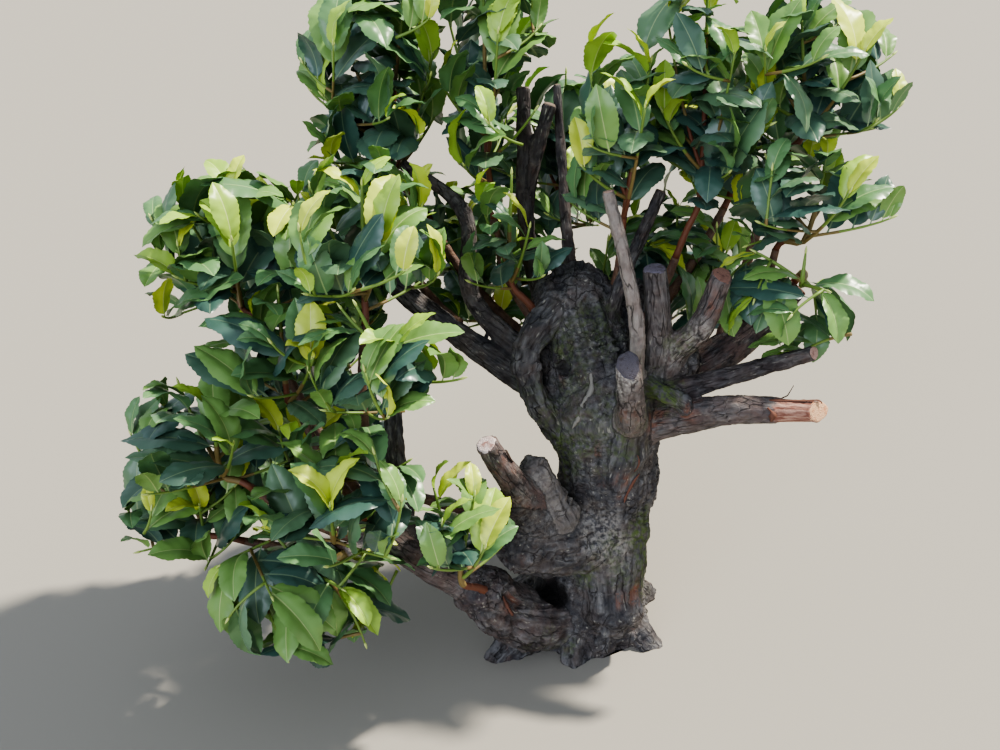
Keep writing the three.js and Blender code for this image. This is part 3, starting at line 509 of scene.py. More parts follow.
def fine_shoot(space, shoots, spray):
    """A thin shoot from the nearest wood below to a place of the mass that is still empty."""
    ways = unit(spray.normal(size=(FINE_TRIES, 3)))
    ways = ways * within(FINE_REACH, spray.random((FINE_TRIES, 1)) ** 0.5)
    tips = space.centre + ways * space.half
    tips = tips[space.holds(tips) & space.clear(tips, TIP_CLEAR)]
    if not len(tips):
        return None
    low, high = FINE_FEET
    stands = np.concatenate([
        shoot["curve"].at(np.linspace(low * shoot.get("fork", UNFORKED), high, 8))
        for shoot in shoots
    ])
    ends = np.array([shoot["curve"].at(1.0) for shoot in shoots])
    apart = np.linalg.norm(tips[:, None] - stands, axis=-1)
    room = np.minimum(apart.min(axis=1), np.linalg.norm(tips[:, None] - ends, axis=-1).min(axis=1))
    best = int(room.argmax())
    if room[best] < ROOM:
        return None
    tip = tips[best]
    steep = (tip[2] - stands[:, 2]) * (-1 if space.hang else 1)
    start = stands[(apart[best] + np.maximum(FINE_RISE - steep, 0) * FLAT_COST).argmin()]
    gap = tip - start
    for bulge in FINE_BENDS:
        via = start + gap * 0.5 + gap * (bulge, bulge, 0)
        via[2] -= bulge * abs(gap[2]) * (HANGING_SAG if space.hang else FINE_SAG)
        curve = bend(start, via, tip)
        points = curve.at(np.linspace(0.2, 1, 11))
        if space.holds(points).all() and space.clear(points, SHOOT_CLEAR).all():
            return dict(curve=curve, r0=FINE_FOOT, r1=FINE_TIP, leafy=LEAFY, fine=True)
    return None


def grow_shoots(space, spray):
    """The solids' leader and side shoots of a mass, and finer shoots between them."""
    draw = seeded(SHOOT_SEEDS[0] + SHOOT_SEEDS[1] * NAMES.index(space.name))
    leave, stops, r0 = STARTS[space.name]
    top = shoot_tip(space, 0, 0, 0)
    low = steps_of(stops).sum()
    fork = low / (low + np.linalg.norm(top - stops[2]))
    leader = dict(
        curve=limb_curve(dict(start=stops[0], via=stops[1:], end=top, leave=leave)),
        r0=r0, r1=TWIG_TIP, fork=fork, forks=fork + np.array(FORKS) * (1 - fork),
        leafy=1 - LEADER_BARE * fork,
    )
    sides = [side_shoot(space, leader, i, draw) for i in range(1, space.own["shoots"])]
    shoots = [leader, *(shoot for shoot in sides if shoot)]
    large = min(1, float(np.prod(space.half)) / LARGE_MASS)
    for _ in range(round(FINE_SHOOTS * large ** FEWER)):
        shoot = fine_shoot(space, shoots, spray)
        if shoot:
            shoots.append(shoot)
    return shoots


def shoot_radius(shoot, t):
    """A leader is thicker below its fork."""
    if "fork" in shoot:
        return np.interp(t, [0, shoot["fork"], 1], [shoot["r0"], LEADER_FORK, shoot["r1"]])
    return radius_at(shoot, t)


# Points of a leaf for the tests, as shares of its length and of its half width
MARKS = np.array([
    (0.22, 0.55), (0.45, 1), (0.72, 0.8), (1, 0), (0.72, -0.8), (0.45, -1), (0.22, -0.55),
    (0.3, 0), (0.55, 0), (0.8, 0), (0.6, 0.5), (0.6, -0.5),
])


def leaf_ways(space, shoot, t, k, turn, spray):
    """The ways that one leaf could stand. k counts back from the tip of the shoot, so the youngest
    leaves are the smallest and stand up the most."""
    stalk = shoot["curve"].along(t)
    side, up = shoot["curve"].across(t)
    age = min(1, k / FULL_SPREAD)
    size = within((TIP_LEAF, 1), min(1, k / FULL_SIZE)) * within(LEAF_VARIES, spray.random())
    spread = within(LEAF_SPREAD, age) + SPREAD_VARIES * spray.random()
    droop = (HANGING_DROOP if space.hang else DROOP) * age * within(DROOP_VARIES, spray.random())
    turns = turn + np.tile(TURNS, len(LEAF_SIZES))
    out = side * np.cos(turns)[:, None] + up * np.sin(turns)[:, None]
    along = unit(stalk * math.cos(spread) + out * math.sin(spread) - (0, 0, droop))
    face = (0, 0, 1) + stalk * LEAF_FACES[0] + out * LEAF_FACES[1]
    upper = unit(face - along * (along * face).sum(axis=1, keepdims=True))
    length = LEAF_LENGTH * (1 + space.own.get("leaf", 1)) / 2 * size * shoot["vigour"]
    foot = shoot["curve"].at(t) + out * shoot_radius(shoot, t) * LEAF_ROOT
    return foot, along, upper, length * np.repeat(LEAF_SIZES, len(TURNS))


def grow_leaves(space, shoots, taken, spray):
    """Leaves down each shoot from its tip, each a golden angle on from the last. taken has the
    points of all leaves so far. The tone of a leaf is 0 young, 1 fresh or 2 mature."""
    lines = np.array([shoot["curve"].at(np.linspace(0, 1, 5)) for shoot in shoots])
    radii = np.repeat([shoot["r1"] for shoot in shoots], 4)
    twigs = Bars(None, lines[:, :-1].reshape(-1, 3), lines[:, 1:].reshape(-1, 3), radii)

    def apart(points):
        near = taken[np.linalg.norm(taken - foot[0], axis=1) < LEAF_NEAR]
        gaps = np.linalg.norm(points[:, :, None] - near, axis=-1)
        return gaps.min(axis=-1, initial=np.inf) > LEAF_APART

    tests = (
        lambda points: space.holds(points, LEAF_OVER),
        space.clear,
        lambda points: twigs.distance(points) > TWIG_CLEAR,
        lambda points: OPEN.distance(points) > 0,
        apart,
    )
    leaves = []
    for shoot in shoots:
        shoot["vigour"] = within(VIGOUR, spray.random())
        young = int(spray.integers(*(FINE_YOUNG_LEAVES if shoot.get("fine") else YOUNG_LEAVES)))
        turn = 2 * math.pi * spray.random()
        grown = []
        gone = TIP_INTERNODE
        k = 0
        while gone < shoot["curve"].length * shoot["leafy"]:
            t = 1 - gone / shoot["curve"].length
            foot, along, upper, length = leaf_ways(space, shoot, t, k, turn + k * GOLDEN_ANGLE, spray)
            down, aside = length[:, None] * MARKS[:, 0], length[:, None] * LEAF_WIDTH / 2 * MARKS[:, 1]
            marks = foot[:, None] + along[:, None] * down[..., None]
            marks = marks + np.cross(along, upper)[:, None] * aside[..., None]
            fits = np.ones(len(marks), dtype=bool)
            for test in tests:
                fits[fits] = test(marks[fits]).all(axis=1)
            if fits.any():
                way = int(fits.argmax())
                taken = np.concatenate([taken, marks[way]])
                grown.append(dict(
                    foot=foot[way], along=along[way], up=upper[way], length=length[way],
                    tone=(k >= young) + (k >= young + FRESH_LEAVES),
                ))
            gone += within(INTERNODES, min(1, k / FULL_INTERNODE))
            k += 1
        shoot["bare"] = "fine" in shoot and len(grown) < FEWEST_LEAVES
        if not shoot["bare"]:
            leaves += grown
    return leaves, taken


crown = {}
taken = np.empty((0, 3))
for index, name in enumerate(NAMES):
    spray = np.random.default_rng(LEAF_SEED + index)
    space = Space(name)
    shoots = grow_shoots(space, spray)
    leaves, taken = grow_leaves(space, shoots, taken, spray)
    crown[name] = [shoot for shoot in shoots if not shoot["bare"]], leaves


def linear(red, green, blue):
    """A screen colour from 0 to 255 as the linear colour that the shader takes."""
    parts = [v / 255 for v in (red, green, blue)]
    return tuple(v / 12.92 if v <= 0.04045 else ((v + 0.055) / 1.055) ** 2.4 for v in parts) + (1.0,)


class Look:
    """A material, with a short way to write its nodes. A colour is a tuple from 0 to 255."""

    def __init__(self, name, roughness, specular=0.5):
        self.material = bpy.data.materials.new(name)
        self.material.use_nodes = True
        self.tree = self.material.node_tree
        self.shader = self.tree.nodes["Principled BSDF"]
        self.shader.inputs["Roughness"].default_value = roughness
        self.shader.inputs["Specular IOR Level"].default_value = specular

    def put(self, socket, value):
        if isinstance(value, bpy.types.NodeSocket):
            self.tree.links.new(value, socket)
        else:
            socket.default_value = linear(*value) if isinstance(value, tuple) else value

    def node(self, kind, inputs, out=0, **settings):
        """One output of a new node with these settings and inputs."""
        node = self.tree.nodes.new("ShaderNode" + kind)
        for key, value in settings.items():
            setattr(node, key, value)
        for socket, value in inputs.items():
            self.put(node.inputs[socket], value)
        return node.outputs[out]

    def mask(self, name, out="Fac"):
        return self.node("Attribute", {}, out, attribute_name=name)

    def lumps(self, size, detail, grain=False, out="Fac"):
        """Noise with lumps size millimetres apart, which grain draws out along the limb."""
        place = self.mask("grain", "Vector") if grain else self.node("TexCoord", {}, "Object")
        scale = 1 / size if grain else 1 / (size * MM)
        return self.node("TexNoise", {"Vector": place, "Scale": scale, "Detail": detail}, out)

    def between(self, value, low, high):
        """0 where value is at low, 1 where it is at high."""
        return self.node("MapRange", {"Value": value, "From Min": low, "From Max": high})

    def spots(self, size, detail=4.0, low=0.4, high=0.6, grain=False):
        return self.between(self.lumps(size, detail, grain), low, high)

    def cracks(self, size, width):
        """Cracks between plates of bark size millimetres across, width as a share of that."""
        warp = {0: self.lumps(size, 4, True, "Color"), 1: [size] * 3, 2: self.mask("grain", "Vector")}
        place = self.node("VectorMath", warp, operation="MULTIPLY_ADD")
        plates = {"Vector": place, "Scale": 1 / size}
        edge = self.node("TexVoronoi", plates, "Distance", feature="DISTANCE_TO_EDGE")
        return self.between(edge, width, 0)

    def times(self, a, b):
        return self.node("Math", {0: a, 1: b}, operation="MULTIPLY", use_clamp=True)

    def blend(self, under, over, mask):
        """over laid on under where mask is 1."""
        return self.node("Mix", {6: under, 7: over, 0: mask}, 2, data_type="RGBA")

    def lay(self, colour, layers):
        """Layers, each a colour and its mask, laid on a colour."""
        for over, mask in layers:
            colour = self.blend(colour, over, mask)
        return colour

    def finish(self, colour, height=None, depth=0):
        """The colour of the surface and its relief, depth in millimetres."""
        self.put(self.shader.inputs["Base Color"], colour)
        if height is not None:
            relief = {"Height": height, "Strength": 0.8, "Distance": depth * MM}
            self.put(self.shader.inputs["Normal"], self.node("Bump", relief))
        return self.material


def plain(name, colour, roughness, specular=0.5):
    return Look(name, roughness, specular).finish(colour)


def piece(name, points, faces, looks=(), which=0):
    """An object from points in millimetres. which is the look of each face."""
    mesh = bpy.data.meshes.new(name)
    mesh.from_pydata((np.asarray(points) * MM).tolist(), [], faces)
    for look in looks:
        mesh.materials.append(look)
    count = len(mesh.polygons)
    mesh.polygons.foreach_set("material_index", np.broadcast_to(which, count).astype(np.int32))
    mesh.polygons.foreach_set("use_smooth", np.ones(count, dtype=bool))
    thing = bpy.data.objects.new(name, mesh)
    bpy.context.scene.collection.objects.link(thing)
    return thing


def layer(thing, name, kind, values):
    """A value for each point of an object, which its look reads by name."""
    data = thing.data.attributes.new(name, kind, "POINT").data
    key = {"FLOAT": "value", "FLOAT_VECTOR": "vector", "FLOAT_COLOR": "color"}[kind]
    data.foreach_set(key, np.asarray(values, dtype=np.float32).ravel())


def ring_faces(rings, sides):
    """Quads between rings of points that follow each other."""
    row = np.arange(rings - 1)[:, None] * sides
    j = np.arange(sides)
    k = (j + 1) % sides
    return np.stack([row + j, row + k, row + sides + k, row + sides + j], axis=-1).reshape(-1, 4)


def around(sides, turn=0.0):
    """The angles of the points of a ring."""
    return 2 * math.pi * np.arange(sides) / sides + turn


def tube(curve, places, radii, sides, turn=0.0):
    """Rings of points round a curve: (ring, point, 3)."""
    side, up = curve.across(places)
    angle = around(sides, turn)[:, None]
    out = side[:, None] * np.cos(angle) + up[:, None] * np.sin(angle)
    return curve.at(places)[:, None] + out * radii[:, None, None]


class Pieces:
    """Points, faces and looks of many small solids, collected for one object."""

    def __init__(self):
        self.points = []
        self.faces = []
        self.which = []
        self.count = 0

    def add(self, points, faces, which=0):
        self.points.append(points)
        self.faces += [[corner + self.count for corner in face] for face in faces]
        self.which += np.broadcast_to(which, len(faces)).tolist()
        self.count += len(points)

    def add_skin(self, rings, which=0, middles=None):
        """Rings of points as a skin, closed at its first ring and its last by triangles to the
        middle. Where middles has one point, the last ring stays open."""
        rows, sides = rings.shape[:2]
        if middles is None:
            middles = rings[[0, -1]].mean(axis=1)
        faces = ring_faces(rows, sides).tolist()
        which = [*np.broadcast_to(which, rows - 1)]
        which += [which[0], which[-1]][:len(middles)]
        first = np.arange(sides)
        last = first[::-1] + (rows - 1) * sides
        for number, ring in zip(range(len(middles)), (first, last)):
            middle = np.full(sides, rows * sides + number)
            faces += np.stack([np.roll(ring, -1), ring, middle], axis=1).tolist()
        self.add(np.concatenate([rings.reshape(-1, 3), middles]), faces, np.repeat(which, sides))

    def build(self, name, looks=()):
        return piece(name, np.concatenate(self.points), self.faces, looks, self.which)


# Leaves
STALK = 0.06  # share of a leaf's length
BLADE_ROWS = 26
COLUMNS = np.array([-1, -0.62, -0.28, -0.04, 0.04, 0.28, 0.62, 1])
RIB_COLUMN = 3  # the strip between columns 3 and 4 is the midrib
RIB_EDGE = 0.04  # where the midrib ends, as a share of the half width
RIB_ROUGHNESS = 0.5
RIB_WIDTHS = (0.011, 0.0035)  # half of them, at the foot and at the tip, as shares of the length
WIDEST = 0.85  # power that moves the widest place of a leaf towards its foot
FULLNESS = (0.64, 1)  # power of the outline at the foot and at the tip; a lower one is fuller
RIB_SUNK = 0.004  # this and the next three are shares of the length
BULGE = 0.006  # how much the blade swells between its side veins
WAVE = 0.027  # how deep its edges wave
SWEEP = 0.07  # how far its edges run on before its middle
WAVES = 2.2  # along each edge
WAVE_SHIFT = 1.9  # between the two edges
VEIN_SLANT = 3  # how many rows further on a side vein is at the edge
TEETH = 0.032  # depth of the teeth, share of the half width
TOOTHED = (0.08, 0.97)  # where along the blade they start and end
QUILTED = (0.04, 0.94)  # and where the blade swells
CAMBER_POWER = 3.5
STEADY = 0.3  # where a twisted leaf lies level, as a share of its length
# How young, fresh and mature leaves bend, from least to most, in radians but for the camber
BENDS = {
    "arch": ((0.6, 1.6), (0.6, 1.6), (0.4, 1.5)),
    "fold": ((0.2, 0.6), (0.16, 0.45), (0.04, 0.32)),
    "camber": ((0.05, 0.3), (0.1, 0.35), (0.12, 0.45)),
    "twist": ((-0.5, 0.5), (-0.5, 0.5), (-0.45, 0.45)),
}
# The shades of each: blade, rib and the blade's roughness
LEAF_TONES = {
    "young": [((194, 208, 80), (212, 218, 138), 0.4), ((154, 186, 74), (188, 204, 124), 0.4)],
    "fresh": [((114, 150, 80), (160, 180, 116), 0.36), ((94, 130, 84), (144, 168, 112), 0.34)],
    "mature": [
        ((78, 106, 88), (128, 148, 114), 0.32), ((64, 92, 82), (112, 134, 108), 0.3),
        ((92, 122, 90), (138, 158, 114), 0.34),
    ],
}
LEAF_LOOKS = []
SHADES = []  # of each tone: where its blades stand in LEAF_LOOKS, each with its rib after it
for tone, shades in LEAF_TONES.items():
    SHADES.append(len(LEAF_LOOKS) + 2 * np.arange(len(shades)))
    for letter, (blade, rib, roughness) in zip("abc", shades):
        LEAF_LOOKS.append(plain(f"leaf_{tone}_{letter}", blade, roughness))
        LEAF_LOOKS.append(plain(f"rib_{tone}_{letter}", rib, RIB_ROUGHNESS))


def leaf_grid(leaves, spray):
    """The points of leaves, rows along the blade and columns across it: (leaf, row, column, 3)."""
    length, foot, along, up = (
        np.array([leaf[key] for leaf in leaves])[:, None, None]
        for key in ("length", "foot", "along", "up")
    )
    side = np.cross(along, up)
    row = np.arange(BLADE_ROWS + 2)[:, None]
    b = np.maximum(0, row - 2) / (BLADE_ROWS - 1)  # 0 to 1 along the blade
    x = np.where(row < 2, row * STALK / 2, STALK + (1 - STALK) * b)  # 0 to 1 from the leaf's foot
    v = COLUMNS
    w = np.abs(v)
    hump = 4 * b * (1 - b)

    def inside(span):
        return (b > span[0]) * (b < span[1])

    teeth = TEETH * np.where(row % 2, 1, -1) * inside(TOOTHED) * (w > 0.9)
    rib = length * within(RIB_WIDTHS, b)
    swell = b ** WIDEST
    half = length * LEAF_WIDTH / 2 * (4 * swell * (1 - swell)) ** within(FULLNESS, b)
    half = np.maximum(half, rib + length * 0.003) * (1 + teeth)
    across = np.sign(v) * (rib + (w - RIB_EDGE) / (1 - RIB_EDGE) * (half - rib))
    forward = x + SWEEP * w * hump

    def drawn(spans):
        span = np.array(spans)[[leaf["tone"] for leaf in leaves]].T
        return within(span, spray.random(len(leaves)))[:, None, None]

    arch, fold, camber, twist = map(drawn, BENDS.values())
    phase = 2 * math.pi * spray.random(len(leaves))[:, None, None]
    slope = arch * (0.5 - forward)
    run = length * (np.sin(arch / 2) - np.sin(slope)) / arch
    rise = length * (np.cos(slope) - np.cos(arch / 2)) / arch
    quilt = np.sin(math.pi / 2 * (row - VEIN_SLANT * w)) * inside(QUILTED) * (w > 0.1)
    sunk = (w < 0.1) * (b > 0.02)
    wave = np.sin(2 * math.pi * WAVES * b + phase + WAVE_SHIFT * (v > 0)) * w ** 2 * hump
    lift = np.sin(fold) * np.abs(across) - camber * half * w ** CAMBER_POWER
    lift = lift + length * (BULGE * quilt - RIB_SUNK * sunk + WAVE * wave)
    flat = np.cos(fold) * across
    turn = twist * (x - STEADY)
    sideways = flat * np.cos(turn) - lift * np.sin(turn)
    upwards = flat * np.sin(turn) + lift * np.cos(turn)
    points = foot + along * (run - upwards * np.sin(slope))[..., None]
    return points + up * (rise + upwards * np.cos(slope))[..., None] + side * sideways[..., None]


def leaf_piece(name, leaves, spray):
    """One object of leaves, each in one of the shades of its tone."""
    grid = leaf_grid(leaves, spray)
    count, rows, columns, _ = grid.shape
    corner = np.arange(rows - 1)[:, None] * columns + np.arange(columns - 1)
    quads = np.stack([corner, corner + 1, corner + columns + 1, corner + columns], axis=-1)
    faces = np.arange(count)[:, None, None] * rows * columns + quads.reshape(-1, 4)
    rib = np.zeros((rows - 1, columns - 1), dtype=int)
    rib[:, RIB_COLUMN] = 1
    rib[:2] = 1
    tones = [SHADES[leaf["tone"]] for leaf in leaves]
    shade = np.array([tone[int(spray.integers(len(tone)))] for tone in tones])
    which = (shade[:, None, None] + rib).ravel()
    return piece(name, grid.reshape(-1, 3), faces.reshape(-1, 4).tolist(), LEAF_LOOKS, which)


TWIG_LOOKS = [
    plain("twig_tip", (112, 138, 62), 0.5),
    plain("twig_middle", (122, 104, 60), 0.55),
    plain("twig_base", (108, 62, 42), 0.6),
    plain("bud", (186, 200, 118), 0.5),
]
BUD = 3  # its place in TWIG_LOOKS
GREEN_TIP = 55  # length of a shoot's green end
RED_BASE = 115  # the shoot is red-brown further than this from its tip
COLOUR_SHIFT = 24  # how much both differ from shoot to shoot
TWIG_RIDGE = 0.1  # how much every third ring stands out
BUD_LENGTH = 9
BUD_PLACES = np.array([0, 0.3, 0.65, 0.95])
BUD_RADII = np.array([1.1, 1.7, 1.2, 0.25])
BUD_SIDES = 5
TWIG_SIDES = 6
TWIG_RING = 7  # between two rings of a shoot


def add_shoot(pieces, shoot, spray):
    """A shoot as a tube that changes from green to red-brown, with a bud at its tip."""
    curve = shoot["curve"]
    places = np.linspace(0, 1, max(5, int(curve.length / TWIG_RING)))
    radii = shoot_radius(shoot, places) * (1 + TWIG_RIDGE * (np.arange(len(places)) % 3 == 0))
    gone = (1 - (places[:-1] + places[1:]) / 2) * curve.length
    gone = gone + COLOUR_SHIFT * (spray.random() - 0.5)
    which = np.digitize(gone, [GREEN_TIP, RED_BASE])
    pieces.add_skin(tube(curve, places, radii, TWIG_SIDES, spray.random()), which)
    tip = curve.at(1.0)
    way = curve.along(1.0)
    bud = bend(tip - way, tip + way * (BUD_LENGTH - 1) / 2, tip + way * BUD_LENGTH)
    pieces.add_skin(tube(bud, BUD_PLACES, BUD_RADII, BUD_SIDES), BUD)


def keep(part, slot, *nodes):
    """A finished piece of the plant, its slot, which is not used, and the solids that it stands for."""
    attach(part, "root")
    if nodes:
        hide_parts(*nodes)


# Masses that are joined into one piece of leaves and one of twigs
GROUPS = {
    "left": ("left_waist", "left_high", "left_front", "left_middle", "left_front_low", "front_sprig"),
    "far_left": ("left_outer", "left_far", "left_low", "left_skirt", "left_back", "left_back_low"),
    "upper": ("upper_left", "upper_middle", "centre"),
    "right": ("right_tall", "right_inner", "right_outer", "right_low", "right_hanging"),
    "back": ("right_back", "back", "back_left", "back_right"),
}
for index, (group, members) in enumerate(GROUPS.items()):
    spray = np.random.default_rng(SHAPE_SEED + index)
    names = [f"crown_{member}" for member in members]
    twigs = Pieces()
    for name in names:
        for shoot in crown[name][0]:
            add_shoot(twigs, shoot, spray)
    keep(twigs.build(f"twigs_{group}", TWIG_LOOKS), "young_stem")
    leaves = [leaf for name in names for leaf in crown[name][1]]
    keep(leaf_piece(f"leaves_{group}", leaves, spray), "foliage", *names)


# Old wood: the stump's lumps, its roots and the stubs, melted together
MELT = 3.6  # width of the melting where two limbs meet
VOXEL = 2.95  # size of the faces of the bark
HOLLOW_SHADE_DEPTH = 7  # how deep in the hollow the painted shade reaches its full strength
HOLLOW_RAGGED = 0.3  # how uneven its edge is
LIMB_STEP = 12  # between two points of a limb
LIMB_NEAR = 24  # a limb counts up to this far from its surface
FAR = 200  # the distance given to limbs that don't count
GRAIN_DRAWN = 0.22  # how short the pattern of the bark is made along a limb
GRAIN_SHIFT = 37  # between the patterns of two limbs
NOISE_SHIFT = 17.3  # between the places of two seeds of noise
WOOD_SIDES = 14
DOME = np.array([0.9, 0.7, 0.4])  # rings of a round end: how far beyond it, as shares of its radius


class Limb:
    """One limb as a chain of tapering pieces, for distances. A stub has a flat cut."""

    def __init__(self, limb, cut):
        self.curve = limb_curve(limb)
        self.places = np.linspace(0, 1, max(6, int(self.curve.length / LIMB_STEP)) + 1)
        self.points = self.curve.at(self.places)
        self.radii = radius_at(limb, self.places)
        self.low = self.points.min(axis=0) - self.radii.max() - LIMB_NEAR
        self.high = self.points.max(axis=0) + self.radii.max() + LIMB_NEAR
        self.cut = None
        if cut:
            side, up = self.curve.across(1.0)
            slant = limb.get("slant", (0, 0))
            self.cut = unit(self.curve.along(1.0) + side * slant[0] - up * slant[1])

    def measure(self, p):
        """Distance, its gradient, the grain, which is a place that is drawn out along the limb, and
        whether the point is on the cut."""
        t, out = nearest(p, self.points[:-1], self.points[1:])
        far = np.linalg.norm(out, axis=-1)
        value = far - (self.radii[:-1] + np.diff(self.radii) * t)
        i = value.argmin(axis=1)
        pick = np.arange(len(p)), i
        value = value[pick]
        gradient = out[pick] / np.maximum(far[pick], 1e-6)[:, None]
        gone = (i + t[pick]) * steps_of(self.points).mean()
        grain = out[pick] + unit(np.diff(self.points, axis=0))[i] * (gone * GRAIN_DRAWN)[:, None]
        flat = np.zeros(len(p), dtype=bool)
        if self.cut is not None:
            beyond = (p - self.points[-1]) @ self.cut
            flat = beyond > value
            value = np.where(flat, beyond, value)
            gradient = np.where(flat[:, None], self.cut, gradient)
        return dict(value=value, gradient=gradient, grain=grain, flat=flat)


OLD_WOOD = {name: Limb(limb, name in STUBS) for name, limb in {**STUMP_PARTS, **STUBS}.items()}
LIMB_NAMES = np.array(list(OLD_WOOD))
ON_STUMP = np.isin(LIMB_NAMES, list(STUMP_PARTS))


def noise_at(p, size, seed=0.0):
    """Smooth noise from -1 to 1 at points in millimetres, with lumps about size apart."""
    places = (np.asarray(p) / size + seed * NOISE_SHIFT).tolist()
    return np.array([noise.noise(place) for place in places])


def old_wood(p):
    """Distance to the melted surface with its gradient; the number of the limb that counts most, its
    share, its grain and whether the point is on its cut; and how deep in the hollow the point is."""
    shape = (len(p), len(OLD_WOOD))
    found = dict(
        value=np.full(shape, float(FAR)), gradient=np.zeros((*shape, 3)), grain=np.zeros((*shape, 3)),
        flat=np.zeros(shape, dtype=bool),
    )
    for n, limb in enumerate(OLD_WOOD.values()):
        near = ((p > limb.low) & (p < limb.high)).all(axis=1)
        if near.any():
            for key, values in limb.measure(p[near]).items():
                found[key][near, n] = values + n * GRAIN_SHIFT if key == "grain" else values
    least = found["value"].min(axis=1, keepdims=True)
    weights = np.exp(-(found["value"] - least) / MELT)
    total = weights.sum(axis=1)
    value = least[:, 0] - MELT * np.log(total)
    gradient = (weights[..., None] * found["gradient"]).sum(axis=1) / total[:, None]
    first = found["value"].argmin(axis=1)
    pick = np.arange(len(p)), first
    hollow = (p - HOLLOW["centre"]) / HOLLOW["half"]
    ragged = HOLLOW_RAGGED * noise_at(p, 11, 13)
    inside = (np.linalg.norm(hollow, axis=1) - 1 + ragged) * min(HOLLOW["half"])
    dug = -inside > value
    return dict(
        value=np.where(dug, -inside, value),
        gradient=unit(np.where(dug[:, None], -unit(hollow / HOLLOW["half"]), gradient)),
        depth=np.where(dug, np.clip(-value / HOLLOW_SHADE_DEPTH, 0, 1), 0),
        first=first, share=1 / total, grain=found["grain"][pick], flat=found["flat"][pick],
    )


def rough_wood():
    """Round-ended tubes of the old wood, melted into one skin of small faces and cut off flat at the
    ground."""
    tubes = Pieces()
    for limb in OLD_WOOD.values():
        r0, r1 = limb.radii[[0, -1]]
        tail = DOME[::-1] if limb.cut is None else DOME[:0]
        places = np.concatenate([0 * DOME, limb.places, 0 * tail + 1])
        radii = np.concatenate([r0 * np.sqrt(1 - DOME ** 2), limb.radii, r1 * np.sqrt(1 - tail ** 2)])
        push = np.concatenate([-r0 * DOME, 0 * limb.radii, r1 * tail])
        rings = tube(limb.curve, places, radii, WOOD_SIDES)
        tubes.add_skin(rings + (limb.curve.along(places) * push[:, None])[:, None])
    thing = tubes.build("bark")
    melt = thing.modifiers.new("melt", "REMESH")
    melt.mode = "VOXEL"
    melt.voxel_size = VOXEL * MM
    skin = bmesh.new()
    skin.from_object(thing, bpy.context.evaluated_depsgraph_get())
    below = bmesh.ops.bisect_plane(
        skin, geom=[*skin.verts, *skin.edges, *skin.faces], plane_co=(0, 0, 0), plane_no=(0, 0, -1),
        clear_outer=True,
    )
    rim = [edge for edge in below["geom_cut"] if isinstance(edge, bmesh.types.BMEdge)]
    bmesh.ops.triangle_fill(skin, edges=rim, use_beauty=True)
    skin.verts.index_update()
    points = np.array([vert.co for vert in skin.verts]) / MM
    faces = [[vert.index for vert in face.verts] for face in skin.faces]
    skin.free()
    bpy.data.objects.remove(thing)
    return points, faces


# Named places on the bark: their centre, radius and strength
SPOTS = {
    "moss": [
        (74, -26, 167, 22, 1), (75, -20, 119, 26, 1), (72, -16, 90, 24, 0.7), (83, -33, 351, 22, 1),
        (-26, 3, 268, 34, 0.8), (12, -42, 127, 22, 0.4), (-10, 24, 382, 26, 0.5),
        (20, 36, 402, 26, 0.5), (-66, 20, 320, 22, 0.6), (60, 40, 40, 34, 0.6),
        (-40, -60, 30, 24, 0.3), (110, -10, 405, 16, 0.5), (20, -20, 300, 42, 0.35),
        (-20, -10, 330, 30, 0.4), (40, -50, 140, 30, 0.3),
    ],
    "red": [
        (62, -50, 92, 16, 1), (49, -54, 77, 14, 1), (-90, -90, 106, 15, 0.9), (82, -21, 313, 15, 0.8),
        (116, -38, 332, 12, 0.9), (45, -59, 339, 14, 0.6), (46, -39, 244, 10, 0.8),
        (44, -36, 222, 9, 0.8), (17, -29, 281, 9, 0.6), (258, 74, 437, 18, 0.8),
        (226, 80, 420, 16, 0.7), (-97, -110, 298, 18, 0.6), (-60, -96, 232, 14, 0.5),
        (140, -16, 456, 14, 0.7), (-232, -110, 232, 14, 0.8), (-266, -134, 208, 10, 0.6),
        (-30, 6, 352, 10, 0.7),
    ],
    # The cavity between the lobes is dug in, and its bark is also painted with shade
    "cavity": [
        (-41, -24, 77, 15, 1), (-26, -34, 74, 13, 1), (-54, -10, 66, 14, 1), (-34, -52, 58, 9, 0.7),
    ],
    "pale": [
        (36, -74, 392, 14, 0.9), (33, -62, 376, 12, 0.8), (16, -45, 179, 26, 0.5),
        (34, -44, 157, 26, 0.5), (-15, -38, 216, 12, 0.5), (-51, -50, 252, 14, 0.6),
        (124, -20, 420, 14, 0.6), (104, -4, 392, 16, 0.5), (-74, -87, 247, 12, 0.4),
    ],
    "peeled": [(228, -66, 347, 20, 1), (244, -67, 347, 22, 1), (256, -67, 347, 22, 1)],
}
# How the bark of a limb differs: paler (or darker, below 0) and redder
LIMB_TONES = {
    "pale_pole": (0.75, 0.3), "dark_pole": (-0.5, 0), "back_pole_left": (-0.7, 0.1),
    "back_pole_right": (-0.7, 0.1), "back_pole_thin": (-0.5, 0.1), "bent_branch": (0.1, 0.1),
    "upper_side_stub": (-0.5, 0.15), "upright_stub": (0.1, 0.1), "face_stub": (0.3, 0.3),
    "hooked_stub": (0.1, 0.35), "lobe_stub": (0.1, 0.55), "lower_side_stub": (0.1, 0.3),
    "thick_right_stub": (-0.4, 0.4), "low_left_stub": (0.1, 0.4), "fork_stub": (0.4, 0.2),
    "left_knob": (0.3, 0), "low_lobe": (0, 0.25),
}
